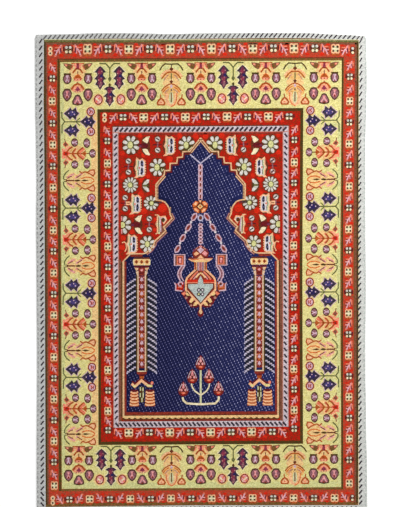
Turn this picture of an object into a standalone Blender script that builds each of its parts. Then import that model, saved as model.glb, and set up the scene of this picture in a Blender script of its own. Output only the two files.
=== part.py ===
"""A woven prayer rug, lying flat: one cloth, 750 mm wide and 1090 mm long.

The frame: origin at the middle of the underside, +X to the right, +Y towards the head end,
where the niche of the design points, and +Z up. Blender units are metres.
"""

import math
from collections import namedtuple

import bmesh
import bpy

MM = 0.001

# Driving sizes
WIDTH = 750 * MM
LENGTH = 1090 * MM
THICKNESS = 3 * MM
EDGE_ROUNDING = 0.9 * MM  # the selvedge yarns turn over the rim in this radius
CORNER_CUT = 3 * MM  # a woven corner has no sharp point
POINT_SPACING = 20 * MM  # along the outline
ROUNDING_STEPS = 3

# How far each side lies outside (+) or inside (-) its straight line. The rug was never quite square:
# its head bows up twice and drops at both corners, its left side leans out towards the head, its
# right side is hollow between the ends, and the left end of its foot hangs a little long.
# "along" is the share of the side, from the first corner of SIDES to the second.
Station = namedtuple("Station", "along out")
HEAD_STATIONS = (
    Station(0.00, -3.2 * MM),
    Station(0.08, -1.7 * MM),
    Station(0.20, 0.9 * MM),
    Station(0.27, 0.9 * MM),
    Station(0.41, -0.9 * MM),
    Station(0.52, 0.8 * MM),
    Station(0.70, 1.7 * MM),
    Station(0.81, 1.4 * MM),
    Station(0.93, -2.6 * MM),
    Station(1.00, -5.6 * MM),
)
RIGHT_STATIONS = (
    Station(0.00, 0.6 * MM),
    Station(0.10, 2.0 * MM),
    Station(0.15, 1.2 * MM),
    Station(0.23, -1.3 * MM),
    Station(0.42, -1.2 * MM),
    Station(0.52, -0.2 * MM),
    Station(0.66, -1.5 * MM),
    Station(0.73, -1.4 * MM),
    Station(0.78, -0.1 * MM),
    Station(0.85, 0.6 * MM),
    Station(0.90, 2.3 * MM),
    Station(1.00, 2.6 * MM),
)
FOOT_STATIONS = (
    Station(0.00, 0.4 * MM),
    Station(0.50, 0.0),
    Station(0.75, 2.1 * MM),
    Station(1.00, 4.6 * MM),
)
LEFT_STATIONS = (
    Station(0.00, -0.3 * MM),
    Station(0.12, -0.1 * MM),
    Station(0.32, -1.1 * MM),
    Station(0.49, 0.0),
    Station(0.61, 0.9 * MM),
    Station(0.69, 0.2 * MM),
    Station(0.77, 1.3 * MM),
    Station(0.84, 2.9 * MM),
    Station(0.93, 3.4 * MM),
    Station(1.00, 3.6 * MM),
)

# The sides in order round the rug, clockwise from the head's left corner.
# "out_x, out_y" point away from the cloth.
Side = namedtuple("Side", "start end out_x out_y stations")
HALF_W, HALF_L = WIDTH / 2, LENGTH / 2
SIDES = (
    Side((-HALF_W, HALF_L), (HALF_W, HALF_L), 0, 1, HEAD_STATIONS),
    Side((HALF_W, HALF_L), (HALF_W, -HALF_L), 1, 0, RIGHT_STATIONS),
    Side((HALF_W, -HALF_L), (-HALF_W, -HALF_L), 0, -1, FOOT_STATIONS),
    Side((-HALF_W, -HALF_L), (-HALF_W, HALF_L), -1, 0, LEFT_STATIONS),
)

# The wool seen from far away, between its red, yellow and blue
CLOTH_COLOUR = (0.42, 0.13, 0.07, 1.0)
CLOTH_ROUGHNESS = 0.9


def clear_scene():
    for thing in list(bpy.data.objects):
        bpy.data.objects.remove(thing, do_unlink=True)


def cloth_material():
    material = bpy.data.materials.new("woven_wool")
    material.use_nodes = True
    shader = material.node_tree.nodes["Principled BSDF"]
    shader.inputs["Base Color"].default_value = CLOTH_COLOUR
    shader.inputs["Roughness"].default_value = CLOTH_ROUGHNESS
    shader.inputs["Metallic"].default_value = 0.0
    return material


def offset_at(stations, along):
    """How far a side lies outside its straight line at a share of its length, eased between stations."""
    for before, after in zip(stations, stations[1:]):
        if along <= after.along:
            share = (along - before.along) / (after.along - before.along)
            ease = (1 - math.cos(math.pi * share)) / 2
            return before.out + (after.out - before.out) * ease
    return stations[-1].out


def side_points(side, start_in, end_in):
    """Points along one side. start_in and end_in move its ends along it, onto the neighbours' lines."""
    (x0, y0), (x1, y1) = side.start, side.end
    length = math.hypot(x1 - x0, y1 - y0)
    run_x, run_y = (x1 - x0) / length, (y1 - y0) / length
    first, last = start_in + CORNER_CUT, length - end_in - CORNER_CUT
    steps = round((last - first) / POINT_SPACING)
    points = []
    for i in range(steps + 1):
        run = first + (last - first) * i / steps
        out = offset_at(side.stations, run / length)
        points.append((x0 + run_x * run + side.out_x * out, y0 + run_y * run + side.out_y * out))
    return points


def outline():
    """The rug's outline, clockwise seen from above, with the middle of its box at the origin."""
    points = []
    for i, side in enumerate(SIDES):
        before, after = SIDES[i - 1], SIDES[(i + 1) % len(SIDES)]
        points += side_points(side, -before.stations[-1].out, -after.stations[0].out)
    xs, ys = zip(*points)
    mid_x, mid_y = (min(xs) + max(xs)) / 2, (min(ys) + max(ys)) / 2
    return [(x - mid_x, y - mid_y) for x, y in points]


def build_rug():
    bm = bmesh.new()
    corners = [bm.verts.new((x, y, 0)) for x, y in outline()]
    underside = bm.faces.new(corners)  # clockwise from above, so it faces down
    raised = bmesh.ops.extrude_face_region(bm, geom=[underside], use_keep_orig=True)["geom"]
    top_corners = [v for v in raised if isinstance(v, bmesh.types.BMVert)]
    bmesh.ops.translate(bm, vec=(0, 0, THICKNESS), verts=top_corners)
    bmesh.ops.recalc_face_normals(bm, faces=bm.faces)
    rims = [e for e in bm.edges if abs(e.verts[0].co.z - e.verts[1].co.z) < THICKNESS / 2]
    bmesh.ops.bevel(
        bm,
        geom=rims,
        offset=EDGE_ROUNDING,
        segments=ROUNDING_STEPS,
        profile=0.5,
        affect="EDGES",
        material=-1,
        clamp_overlap=True,
    )
    mesh = bpy.data.meshes.new("rug")
    bm.to_mesh(mesh)
    bm.free()
    mesh.shade_smooth()
    mesh.set_sharp_from_angle(angle=math.radians(40))
    rug = bpy.data.objects.new("rug", mesh)
    rug.data.materials.append(cloth_material())
    bpy.context.scene.collection.objects.link(rug)
    return rug


clear_scene()
build_rug()
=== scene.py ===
"""A woven prayer rug lying flat, seen from above: its cloth, and its pattern as laid yarn.

The pattern is drawn on a chart, as a weaver does. A chart point is a small square of the cloth:
u runs to the right from the middle of the niche, and v runs down from the head edge.
Everything is drawn flat on the chart first. At the end it is laid on the cloth, whose sides
aren't quite straight, and each yarn becomes one piece that stands a little above the ground weave.
"""

import math
import random
from collections import namedtuple

import bmesh
import bpy
import numpy as np
from mathutils import Matrix, Vector


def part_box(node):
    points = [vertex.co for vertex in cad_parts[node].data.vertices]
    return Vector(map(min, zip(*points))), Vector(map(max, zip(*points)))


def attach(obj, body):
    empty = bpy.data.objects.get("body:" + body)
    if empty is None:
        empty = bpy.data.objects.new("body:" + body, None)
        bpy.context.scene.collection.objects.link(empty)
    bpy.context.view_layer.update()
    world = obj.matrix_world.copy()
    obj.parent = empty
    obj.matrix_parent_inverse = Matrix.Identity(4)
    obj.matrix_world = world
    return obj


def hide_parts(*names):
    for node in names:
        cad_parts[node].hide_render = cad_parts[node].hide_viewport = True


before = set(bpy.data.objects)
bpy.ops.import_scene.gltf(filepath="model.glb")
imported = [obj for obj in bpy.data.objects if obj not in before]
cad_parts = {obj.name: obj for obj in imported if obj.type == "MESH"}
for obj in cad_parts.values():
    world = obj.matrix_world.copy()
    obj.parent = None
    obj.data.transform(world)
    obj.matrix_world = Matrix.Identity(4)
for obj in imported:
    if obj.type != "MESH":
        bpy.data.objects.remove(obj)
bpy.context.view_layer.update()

MM = 0.001

# Sizes of the cloth
WIDTH = 750 * MM
GROUND_TOP = 2.4 * MM  # the ground weave's upper face
YARN_STEP = 0.07 * MM  # each layer of yarn stands this much above the one below
YARN_FOOT = 2.2 * MM  # yarns are rooted in the ground weave, down to here
NUDGE = 0.003 * MM  # two crossing floats never lie at quite the same height
NUDGES = 6

# The chart, in points
LEFT_EDGE, RIGHT_EDGE, FOOT_EDGE = -164.1, 165.6, 479.2
POINT = WIDTH / (RIGHT_EDGE - LEFT_EDGE)
CELL = 12.0  # the widest square that a plain area is cut into

# Layers of yarn, from the ground up
BAND, FIELD, SHADE, FORM, MARK, DETAIL, TOP, CROWN = range(1, 9)

random.seed(7)
HAND = 0.16  # how far, in points, a motif strays from its place


# ---------------------------------------------------------------- yarns and their colours

# Each yarn has a kind, a colour, the colour of its flecks and the share of the stitches they take.
Yarn = namedtuple("Yarn", "kind colour fleck share")
YARNS = {
    "red": Yarn("red", (186, 26, 12), (138, 44, 18), 0.38),
    "madder": Yarn("red", (198, 58, 36), (160, 76, 52), 0.42),
    "scarlet": Yarn("red", (216, 42, 18), (196, 40, 20), 0.30),
    "brick": Yarn("red", (148, 52, 36), (110, 40, 28), 0.35),
    "salmon": Yarn("red", (236, 134, 104), (226, 104, 76), 0.30),
    "maroon": Yarn("red", (112, 26, 30), (84, 24, 34), 0.35),
    "rust": Yarn("orange", (166, 72, 28), (190, 98, 42), 0.30),
    "yellow": Yarn("yellow", (230, 219, 150), (214, 203, 124), 0.35),
    "amber": Yarn("yellow", (240, 204, 142), (236, 184, 120), 0.35),
    "straw": Yarn("yellow", (236, 190, 120), (224, 166, 94), 0.35),
    "lime": Yarn("yellow", (216, 214, 150), (202, 198, 126), 0.30),
    "olive": Yarn("olive", (106, 84, 36), (146, 86, 50), 0.35),
    "moss": Yarn("olive", (70, 60, 24), (98, 52, 20), 0.30),
    "brown": Yarn("olive", (112, 52, 30), (82, 42, 28), 0.30),
    "bark": Yarn("olive", (80, 54, 38), (98, 66, 50), 0.35),
    "umber": Yarn("olive", (134, 84, 64), (112, 62, 42), 0.30),
    "sage": Yarn("cream", (206, 208, 160), (222, 214, 176), 0.30),
    "clay": Yarn("pink", (194, 140, 124), (170, 108, 100), 0.30),
    "buff": Yarn("cream", (230, 188, 142), (216, 162, 120), 0.30),
    "ink": Yarn("navy", (28, 28, 42), (48, 44, 58), 0.30),
    "green": Yarn("olive", (92, 96, 52), (124, 122, 76), 0.30),
    "navy": Yarn("navy", (22, 24, 68), (15, 18, 50), 0.30),
    "indigo": Yarn("navy", (52, 40, 92), (36, 32, 70), 0.35),
    "violet": Yarn("navy", (78, 66, 120), (54, 46, 92), 0.35),
    "speck": Yarn("navy", (116, 114, 158), (86, 86, 132), 0.40),
    # painted glints: lighter copies of the specks, for the light on the satin's right side
    "glint": Yarn("navy", (168, 166, 204), (132, 132, 176), 0.40),
    "slate": Yarn("navy", (50, 42, 52), (76, 66, 70), 0.30),
    "plum": Yarn("plum", (118, 52, 78), (86, 38, 60), 0.35),
    "cherry": Yarn("plum", (150, 58, 80), (128, 44, 60), 0.35),
    "mauve": Yarn("plum", (156, 106, 114), (130, 78, 88), 0.40),
    "lilac": Yarn("pink", (216, 184, 196), (196, 156, 170), 0.35),
    "pink": Yarn("pink", (236, 164, 162), (218, 120, 122), 0.25),
    "coral": Yarn("pink", (248, 160, 128), (236, 128, 100), 0.30),
    "tan": Yarn("cream", (222, 190, 158), (204, 168, 136), 0.30),
    "ivory": Yarn("cream", (241, 228, 190), (232, 208, 164), 0.30),
    "peach": Yarn("cream", (245, 190, 144), (236, 158, 114), 0.30),
    "orange": Yarn("orange", (224, 118, 50), (198, 78, 34), 0.30),
    "white": Yarn("white", (226, 216, 218), (198, 188, 196), 0.30),
    "rose": Yarn("white", (214, 200, 206), (190, 172, 180), 0.35),
    "mist": Yarn("white", (186, 196, 188), (160, 170, 168), 0.30),
    "stitch": Yarn("selvedge", (152, 152, 150), (166, 166, 164), 0.35),
    "ash": Yarn("selvedge", (112, 110, 108), (88, 86, 88), 0.35),
    "frost": Yarn("white", (200, 192, 214), (168, 158, 180), 0.35),
    "chalk": Yarn("white", (216, 212, 198), (196, 190, 178), 0.30),
}


def tint(red, green, blue):
    """A colour as it looks on a screen, 0 to 255, as the shader's own light values."""
    shares = [channel / 255 for channel in (red, green, blue)]
    return tuple(s / 12.92 if s <= 0.04045 else ((s + 0.055) / 1.055) ** 2.4 for s in shares) + (1.0,)


def new_material(name):
    material = bpy.data.materials.new(name)
    material.use_nodes = True
    return material


def add_node(tree, kind, inputs=(), **settings):
    """A shader node with its settings. Each input is a value, or a socket of another node."""
    node = tree.nodes.new("ShaderNode" + kind)
    for name, value in settings.items():
        setattr(node, name, value)
    for name, value in dict(inputs).items():
        if isinstance(value, bpy.types.NodeSocket):
            tree.links.new(value, node.inputs[name])
        else:
            node.inputs[name].default_value = value
    return node


MIX_SHARE, MIX_FIRST, MIX_SECOND, MIX_RESULT = 0, 6, 7, 2  # a mix node's sockets for colours


def mixed(tree, share, first, second):
    """A mix of two colour sockets."""
    inputs = {MIX_SHARE: share, MIX_FIRST: first, MIX_SECOND: second}
    return add_node(tree, "Mix", inputs, data_type="RGBA").outputs[MIX_RESULT]


STITCHES_ACROSS, STITCHES_DOWN = 430.0, 760.0  # stitches a metre
ROW_SCALE = 240.0  # gives a weft row every 1.3 mm
ROW_WANDER = 1.5  # how far the weft rows stray from straight
RIPPLE_SHADE_SCALE = 11.0  # slow lighter and darker patches of painted shade, from slight undulations of the cloth, a metre
TONE_LOW, TONE_HIGH = 0.63, 0.99  # how dark and how light a stitch is, as shares of its dye
RIPPLE_SHADE_LOW, RIPPLE_SHADE_HIGH = 0.93, 1.07


def weave_group():
    """The look that every yarn shares: stitches of uneven tone, flecks, slow blotches of painted shade from
    slight undulations, and weft rows.
    """
    tree = bpy.data.node_groups.new("weave", "ShaderNodeTree")
    for name, kind, way in (
        ("Place", "Vector", "INPUT"),
        ("Colour", "Color", "INPUT"),
        ("Fleck", "Color", "INPUT"),
        ("Fleck share", "Float", "INPUT"),
        ("Colour", "Color", "OUTPUT"),
        ("Height", "Float", "OUTPUT"),
    ):
        tree.interface.new_socket(name, in_out=way, socket_type="NodeSocket" + kind)
    given = tree.nodes.new("NodeGroupInput").outputs
    result = tree.nodes.new("NodeGroupOutput").inputs

    pitch = (STITCHES_ACROSS, STITCHES_DOWN, 1.0)
    stretched = add_node(tree, "VectorMath", {0: given["Place"], 1: pitch}, operation="MULTIPLY")
    cells = {"Vector": stretched.outputs[0], "Scale": 1.0}
    stitches = add_node(tree, "TexVoronoi", cells, voronoi_dimensions="2D")
    tones = add_node(tree, "SeparateColor", {0: stitches.outputs["Color"]}).outputs
    is_fleck = add_node(tree, "Math", {0: tones["Red"], 1: given["Fleck share"]}, operation="LESS_THAN")
    flecked = mixed(tree, is_fleck.outputs[0], given["Colour"], given["Fleck"])

    tone = add_node(tree, "MapRange", {"Value": tones["Green"], "To Min": TONE_LOW, "To Max": TONE_HIGH})
    # painted shade: slow lighter and darker blotches, as from slight undulations of the cloth
    blotch = add_node(tree, "TexNoise", {"Vector": given["Place"], "Scale": RIPPLE_SHADE_SCALE}).outputs["Fac"]
    slow = add_node(tree, "MapRange", {"Value": blotch, "To Min": RIPPLE_SHADE_LOW, "To Max": RIPPLE_SHADE_HIGH})
    shade = add_node(tree, "Math", {0: tone.outputs[0], 1: slow.outputs[0]}, operation="MULTIPLY")
    whole = add_node(tree, "VectorMath", {0: flecked, "Scale": shade.outputs[0]}, operation="SCALE")
    tree.links.new(whole.outputs[0], result["Colour"])

    lines = {"Vector": given["Place"], "Scale": ROW_SCALE, "Distortion": ROW_WANDER}
    rows = add_node(tree, "TexWave", lines, bands_direction="Y")
    height = add_node(tree, "Math", {0: rows.outputs["Fac"], 1: tones["Blue"]}, operation="ADD")
    tree.links.new(height.outputs[0], result["Height"])
    return tree


WEAVE = weave_group()
WEAVE_DEPTH = 0.25 * MM
WOOL_ROUGHNESS = 0.9
WOOL_SHEEN = 0.04
WOOL_GLOSS = 0.06

# The undyed wool gets lighter from the left to the right, partly from a greyer yarn at the left and partly
# as painted shade; the field's navy satin gets lighter to the right as a painted sheen
GREY_SHADED_SIDE = (196, 197, 195)
WHITE_LIT_SIDE = (209, 210, 205)
UNDYED_SHADE_SPAN = (-0.5 * WIDTH, 0.5 * WIDTH)
# The navy satin's painted sheen: shaded at the left, lit towards the right
SHADED_NAVY = (20, 22, 62)
SHEEN_LIT_NAVY = (34, 39, 88)
NAVY_SHEEN_SPAN = (-0.15 * WIDTH, 0.25 * WIDTH)


def woven(material, colour, fleck, share):
    """Gives a material the weave, with its Principled shader in the material itself."""
    tree = material.node_tree
    place = add_node(tree, "TexCoord").outputs["Object"]
    given = {"Place": place, "Colour": colour, "Fleck": fleck, "Fleck share": share}
    weave = add_node(tree, "Group", given, node_tree=WEAVE).outputs
    relief = add_node(tree, "Bump", {"Distance": WEAVE_DEPTH, "Height": weave["Height"]})
    shader = tree.nodes["Principled BSDF"]
    tree.links.new(weave["Colour"], shader.inputs["Base Color"])
    tree.links.new(relief.outputs[0], shader.inputs["Normal"])
    shader.inputs["Roughness"].default_value = WOOL_ROUGHNESS
    shader.inputs["Sheen Weight"].default_value = WOOL_SHEEN
    shader.inputs["Specular IOR Level"].default_value = WOOL_GLOSS
    return material


def shade_gradient_material(name, left_colour, right_colour, left, right):
    """Wool that changes slowly from one colour to another, between two places across the cloth, which
    paints light and shade across it.
    """
    material = new_material(name)
    tree = material.node_tree
    place = add_node(tree, "SeparateXYZ", {0: add_node(tree, "TexCoord").outputs["Object"]})
    span = {"Value": place.outputs["X"], "From Min": left, "From Max": right}
    share = add_node(tree, "MapRange", span).outputs[0]
    colours = []
    for colour in (left_colour, right_colour):
        colours.append(add_node(tree, "RGB").outputs[0])
        colours[-1].default_value = tint(*colour)
    wool = mixed(tree, share, *colours)
    return woven(material, wool, wool, 0.0)


def yarn_material(name, yarn):
    """The wool of one yarn. Navy is the satin of the field, which is graded with a painted sheen that
    lightens it towards the right.
    """
    if name == "navy":
        return shade_gradient_material("navy_yarn", SHADED_NAVY, SHEEN_LIT_NAVY, *NAVY_SHEEN_SPAN)
    return woven(new_material(name + "_yarn"), tint(*yarn.colour), tint(*yarn.fleck), yarn.share)


# ---------------------------------------------------------------- drawing on the chart

sheets = {name: bmesh.new() for name in YARNS}
drawn = {"count": 0}


def float_height(layer):
    drawn["count"] += 1
    return GROUND_TOP + layer * YARN_STEP + (drawn["count"] % NUDGES) * NUDGE


def patch(yarn, layer, points):
    """A flat patch of one yarn, given by its corners."""
    sheet = sheets[yarn]
    height = float_height(layer)
    sheet.faces.new([sheet.verts.new((u, -v, height)) for u, v in points])


SHARP_TURN, MITRE_LIMIT = 0.2, 0.5  # a path that turns back on itself gets no long corner


def beside(path, distance, closed=False):
    """A path moved sideways by a distance, with its corners mitred.

    A path that runs to the right moves down by it, and one that runs down moves to the left.
    """
    points = [Vector(point) for point in path]
    moved = []
    for i, point in enumerate(points):
        runs = []
        if closed or i:
            runs.append((point - points[i - 1]).normalized())
        if closed or i < len(points) - 1:
            runs.append((points[(i + 1) % len(points)] - point).normalized())
        run = sum(runs, Vector((0, 0)))
        run = run.normalized() if run.length > SHARP_TURN else runs[0]
        mitre = 1 / max(MITRE_LIMIT, run.dot(runs[0]))
        moved.append(tuple(point + Vector((-run.y, run.x)) * distance * mitre))
    return moved


def stroke(yarn, layer, width, path, closed=False):
    """A line of one yarn along a path."""
    sheet = sheets[yarn]
    height = float_height(layer)
    rails = []
    for side in (1, -1):
        rail = beside(path, side * width / 2, closed)
        rails.append([sheet.verts.new((u, -v, height)) for u, v in rail])
    spans = list(zip(*rails))
    if closed:
        spans.append(spans[0])
    for (a, b), (c, d) in zip(spans, spans[1:]):
        sheet.faces.new((a, b, d, c))


# An oval has 6 corners up to the first product of its two radii, 8 up to the second, and else 12
SMALL, MIDDLING = 0.95, 5.285


def oval(u, v, radius_u, radius_v, sides=None):
    """The corners of an oval, which has fewer of them the smaller it is."""
    size = radius_u * radius_v
    sides = sides or (6 if size < SMALL else 8 if size < MIDDLING else 12)
    turns = [2 * math.pi * (i + 0.5) / sides for i in range(sides)]
    return [(u + radius_u * math.cos(t), v + radius_v * math.sin(t)) for t in turns]


Box = namedtuple("Box", "left head right foot")


def area(yarn, layer, box):
    """A plain rectangle, cut into squares so that it can follow the cloth."""
    wide, long = box.right - box.left, box.foot - box.head
    middle = ((box.left + box.right) / 2, -(box.head + box.foot) / 2, float_height(layer))
    bmesh.ops.create_grid(
        sheets[yarn],
        x_segments=max(1, math.ceil(wide / CELL)),
        y_segments=max(1, math.ceil(long / CELL)),
        size=0.5,
        matrix=Matrix.LocRotScale(middle, None, (wide, long, 1)),
    )


def border(yarn, layer, outer, inner):
    """A plain band between two boxes."""
    area(yarn, layer, Box(outer.left, outer.head, outer.right, inner.head))
    area(yarn, layer, Box(outer.left, inner.foot, outer.right, outer.foot))
    area(yarn, layer, Box(outer.left, inner.head, inner.left, inner.foot))
    area(yarn, layer, Box(inner.right, inner.head, outer.right, inner.foot))


def leaning(shape, middle, size, lean):
    """A shape's corners. The shape is given along and across itself, and it leans one way."""
    corners = []
    for along, across in shape:
        long, wide = along * size[0], across * size[1]
        x = middle[0] + long * lean[0] - wide * lean[1]
        d = middle[1] + long * lean[1] + wide * lean[0]
        corners.append((x, d))
    return corners


class Pen:
    """Draws in a motif's own points: x across it, and d down or inward from where it stands."""

    def __init__(self, u, v, across=(1, 0), inward=(0, 1), stretch=1.0):
        self.u, self.v = u, v
        self.across, self.inward, self.stretch = across, inward, stretch

    def at(self, x, d):
        d *= self.stretch
        u = self.u + x * self.across[0] + d * self.inward[0]
        v = self.v + x * self.across[1] + d * self.inward[1]
        return u, v

    def moved(self, x, d):
        return Pen(*self.at(x, d), self.across, self.inward, self.stretch)

    def mirrored(self):
        return Pen(self.u, self.v, (-self.across[0], -self.across[1]), self.inward, self.stretch)

    def halves(self):
        return self, self.mirrored()

    def patch(self, yarn, layer, *points):
        patch(yarn, layer, [self.at(x, d) for x, d in points])

    def stroke(self, yarn, layer, width, *path, closed=False):
        stroke(yarn, layer, width, [self.at(x, d) for x, d in path], closed)

    def even_patch(self, yarn, layer, *side):
        """A patch that is alike on both sides, given by one of them from the top down."""
        other = [(-x, d) for x, d in side if x]
        start = [other.pop(0)] if side[0][0] else []
        self.patch(yarn, layer, *start, *side, *reversed(other))

    def bar(self, yarn, layer, width, half_x, d):
        self.stroke(yarn, layer, width, (-half_x, d), (half_x, d))

    def stem(self, yarn, layer, width, head, foot):
        self.stroke(yarn, layer, width, (0, head), (0, foot))

    def disc(self, yarn, layer, x, d, radius, depth=None, sides=None):
        points = oval(x, d, radius, depth or radius, sides)
        self.patch(yarn, layer, *points)

    def ring(self, yarn, layer, width, x, d, radius, depth=None, sides=None):
        points = oval(x, d, radius, depth or radius, sides)
        self.stroke(yarn, layer, width, *points, closed=True)

    def diamond(self, yarn, layer, x, d, half_x, half_d):
        self.patch(yarn, layer, (x - half_x, d), (x, d + half_d), (x + half_x, d), (x, d - half_d))

    def nested(self, stations, rings):
        """A form that is alike on both sides of its middle line, in yarns from the outside in.

        Each station is a half-width and a depth. Each ring is a yarn, a layer and a share of the size.
        """
        middle = (stations[0][1] + stations[-1][1]) / 2
        for yarn, layer, size in rings:
            right = [(x * size, middle + (d - middle) * size) for x, d in stations]
            left = [(-x, d) for x, d in reversed(right) if x > 0]
            self.patch(yarn, layer, *right, *left)


def placed(u, v, **how):
    """A pen for one motif, a hair off its place, as handwork is."""
    return Pen(u + random.uniform(-HAND, HAND), v + random.uniform(-HAND, HAND), **how)


SLASH, BACKSLASH = 1, -1


# ---------------------------------------------------------------- bands and guards

OUTER_LINE = Box(-155.8, 5.5, 156.9, 472)
OUTER_RED = Box(-152.9, 9.6, 153.4, 468.8)
YELLOW_LINE = Box(-142.7, 24.7, 142.3, 457)
YELLOW = Box(-139.5, 28, 140.1, 454.7)
INNER_LINE = Box(-102.6, 75.3, 102.2, 411.1)
INNER_RED = Box(-99.9, 78.3, 99.3, 407.8)
BARBER_LINE = Box(-88, 92, 88.2, 394.1)
BARBER = Box(-87.6, 93.1, 88, 393.8)
NICHE = Box(-81.7, 99, 81.8, 387.8)


def plain_bands():
    border("olive", BAND, OUTER_LINE, OUTER_RED)
    border("madder", BAND, OUTER_RED, YELLOW_LINE)
    border("olive", BAND, YELLOW_LINE, YELLOW)
    border("yellow", BAND, YELLOW, INNER_LINE)
    border("moss", BAND, INNER_LINE, INNER_RED)
    border("red", BAND, INNER_RED, BARBER_LINE)
    border("brown", BAND, BARBER_LINE, BARBER)
    border("rose", BAND, BARBER, NICHE)
    area("navy", BAND, NICHE)


def dash_row(yarn, start, end, pitch, size, lean, width):
    """Slanting dashes in a row. A lean of 1 is a slash, and of -1 a backslash."""
    length = math.dist(start, end)
    count = round(length / pitch)
    for i in range(count):
        share = (i + 0.5) / count
        pen = placed(start[0] + (end[0] - start[0]) * share, start[1] + (end[1] - start[1]) * share)
        across, down = size[0] / 2 * lean, size[1] / 2
        pen.stroke(yarn, MARK, width, (-across, down), (across, -down))


def guard_dashes():
    dash_row("ash", (-156.9, 3), (40, 3), 4.58, (3.4, 4), SLASH, 1.35)
    dash_row("slate", (40, 2.8), (163.6, 2.8), 4.58, (3.4, 4), SLASH, 1.3)
    dash_row("slate", (-158, 475.4), (158, 475.4), 4.55, (2.8, 4), BACKSLASH, 1.6)
    for u in (-158.8, 159.2):
        dash_row("slate", (u, 3.2), (u, 113), 6.85, (2.6, 4.4), SLASH, 1.3)
        dash_row("slate", (u, 113), (u, 457), 5.95, (2.8, 3.8), SLASH, 1.4)
        lean = BACKSLASH if u < 0 else SLASH
        dash_row("slate", (u, 457), (u, 472), 5, (2.8, 3.6), lean, 1.45)
    barber_u = (BARBER.left + NICHE.left) / 2, (BARBER.right + NICHE.right) / 2
    barber_v = (BARBER.head + NICHE.head) / 2, (BARBER.foot + NICHE.foot) / 2
    dash_row("slate", (-86, barber_v[0]), (86, barber_v[0]), 4.75, (3.4, 3.9), SLASH, 2)
    dash_row("slate", (-86, barber_v[1]), (86, barber_v[1]), 4.3, (3.2, 3.7), BACKSLASH, 1.9)
    dash_row("slate", (barber_u[0], 99.5), (barber_u[0], 387), 6.1, (2.6, 3.2), SLASH, 1.7)
    dash_row("slate", (barber_u[1], 99.5), (barber_u[1], 387), 6.1, (2.6, 3.4), BACKSLASH, 1.7)


def line_down(yarn, layer, width, u, head, foot):
    stroke(yarn, layer, width, [(u, head), (u, foot)])


def line_across(yarn, layer, width, v, left, right):
    stroke(yarn, layer, width, [(left, v), (right, v)])


def guard_lines():
    """Thin lines beside the guards."""
    left, head, right, foot = OUTER_LINE
    line_down("umber", SHADE, 1.6, OUTER_RED.left - 0.5, head + 2.6, foot - 2.4)
    line_down("umber", SHADE, 1.8, OUTER_RED.right + 0.7, head + 2.6, foot - 2.4)
    line_down("moss", FORM, 1.6, left + 0.9, head + 2, foot - 2)
    line_down("moss", FORM, 1.8, right - 0.8, head + 2, foot - 2)
    line_down("moss", FORM, 1.4, YELLOW_LINE.left + 1.4, YELLOW_LINE.head + 0.6, YELLOW_LINE.foot - 0.6)
    line_down("moss", FORM, 1.2, YELLOW_LINE.right - 1.2, YELLOW_LINE.head + 0.6, YELLOW_LINE.foot - 0.6)
    line_across("green", SHADE, 1.5, head + 1.2, left + 0.6, right - 0.6)
    line_across("umber", SHADE, 2, OUTER_RED.head - 0.2, left + 2, right - 2)
    line_across("brown", SHADE, 1, YELLOW_LINE.head + 0.3, YELLOW_LINE.left, YELLOW_LINE.right)
    line_across("sage", SHADE, 0.8, head - 0.4, left, right)
    line_down("ivory", SHADE, 0.8, right + 0.6, head, foot)
    for u in (BARBER.left + 0.3, NICHE.left - 0.3, NICHE.right + 0.3, BARBER.right - 0.3):
        line_down("clay", SHADE, 0.8, u, BARBER.head, BARBER.foot)
    line_across("clay", SHADE, 0.9, NICHE.head - 0.3, BARBER.left, BARBER.right)


def selvedge_stitches():
    """The stitches that bind the plain strip at each side."""
    for u, pitch, yarn in ((-162.9, 4.8, "stitch"), (164.1, 4.8, "mist")):
        count = round(FOOT_EDGE / pitch)
        for i in range(count):
            pen = placed(u, (i + 0.5) * FOOT_EDGE / count)
            pen.stroke(yarn, SHADE, 0.8, (0, -1.3), (0, 1.3))


def white_floret(pen):
    """Four pale petals on a dark ground, parted by a dull green cross."""
    pen.disc("brown", SHADE, 0, 0, 4.7, 4.9, sides=8)
    for half in pen.halves():
        half.stroke("maroon", SHADE, 1.2, (4.9, -3), (4.9, 1.6))
        half.disc("chalk", FORM, 1.9, -2.2, 1.45, 1.5)
        half.disc("ivory", FORM, 1.9, 2.2, 1.45, 1.5)
    pen.bar("bark", MARK, 1.2, 2.4, 0)
    pen.stem("slate", MARK, 1.1, -2.8, 2.8)
    pen.disc("green", DETAIL, 0, 0, 0.9, 1)


RING_RIM = ((-4.4, -3.4), (-3.4, -5), (-1.2, -5), (0, -4.4), (1.2, -5), (3.4, -5), (4.4, -3.4), (4.2, 0))


def ring_floret(pen):
    """Four dark holes in a peach form with rounded lobes, cream in its middle."""
    below = [(-x, -d) for x, d in RING_RIM]
    pen.patch("peach", SHADE, *RING_RIM, *below)
    pen.even_patch("sage", FORM, (2.6, -3.2), (2.6, 3.2))
    pen.bar("ivory", MARK, 1.4, 3.9, 0.1)
    for half in pen.halves():
        half.disc("bark", DETAIL, 2.1, -2.3, 1.2, 1.4)
        half.disc("bark", DETAIL, 2.1, 2.2, 1.1, 1.3)
    pen.even_patch("rust", SHADE, (4.2, 5), (3.2, 7))


def half_ring_floret(pen):
    """Two rings only, one over the other, where the row meets the corner."""
    for d in (-2.2, 2.2):
        pen.disc("peach", SHADE, 0, d, 2.4, 2.7, sides=10)
        pen.disc("ivory", FORM, 0, d, 1.5, 1.8)
        pen.disc("bark", MARK, 0, d, 1, 1.1, sides=6)


def half_white_floret(pen):
    """Two petals only, one over the other, in the corner."""
    pen.disc("brown", SHADE, 0, 0, 3, 4.6, sides=8)
    pen.disc("chalk", FORM, 0.2, -2.3, 1.4, 1.5)
    pen.disc("ivory", FORM, 0.2, 2.3, 1.4, 1.5)
    pen.disc("slate", MARK, -0.6, 0.2, 1.5, 0.9, sides=6)


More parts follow.
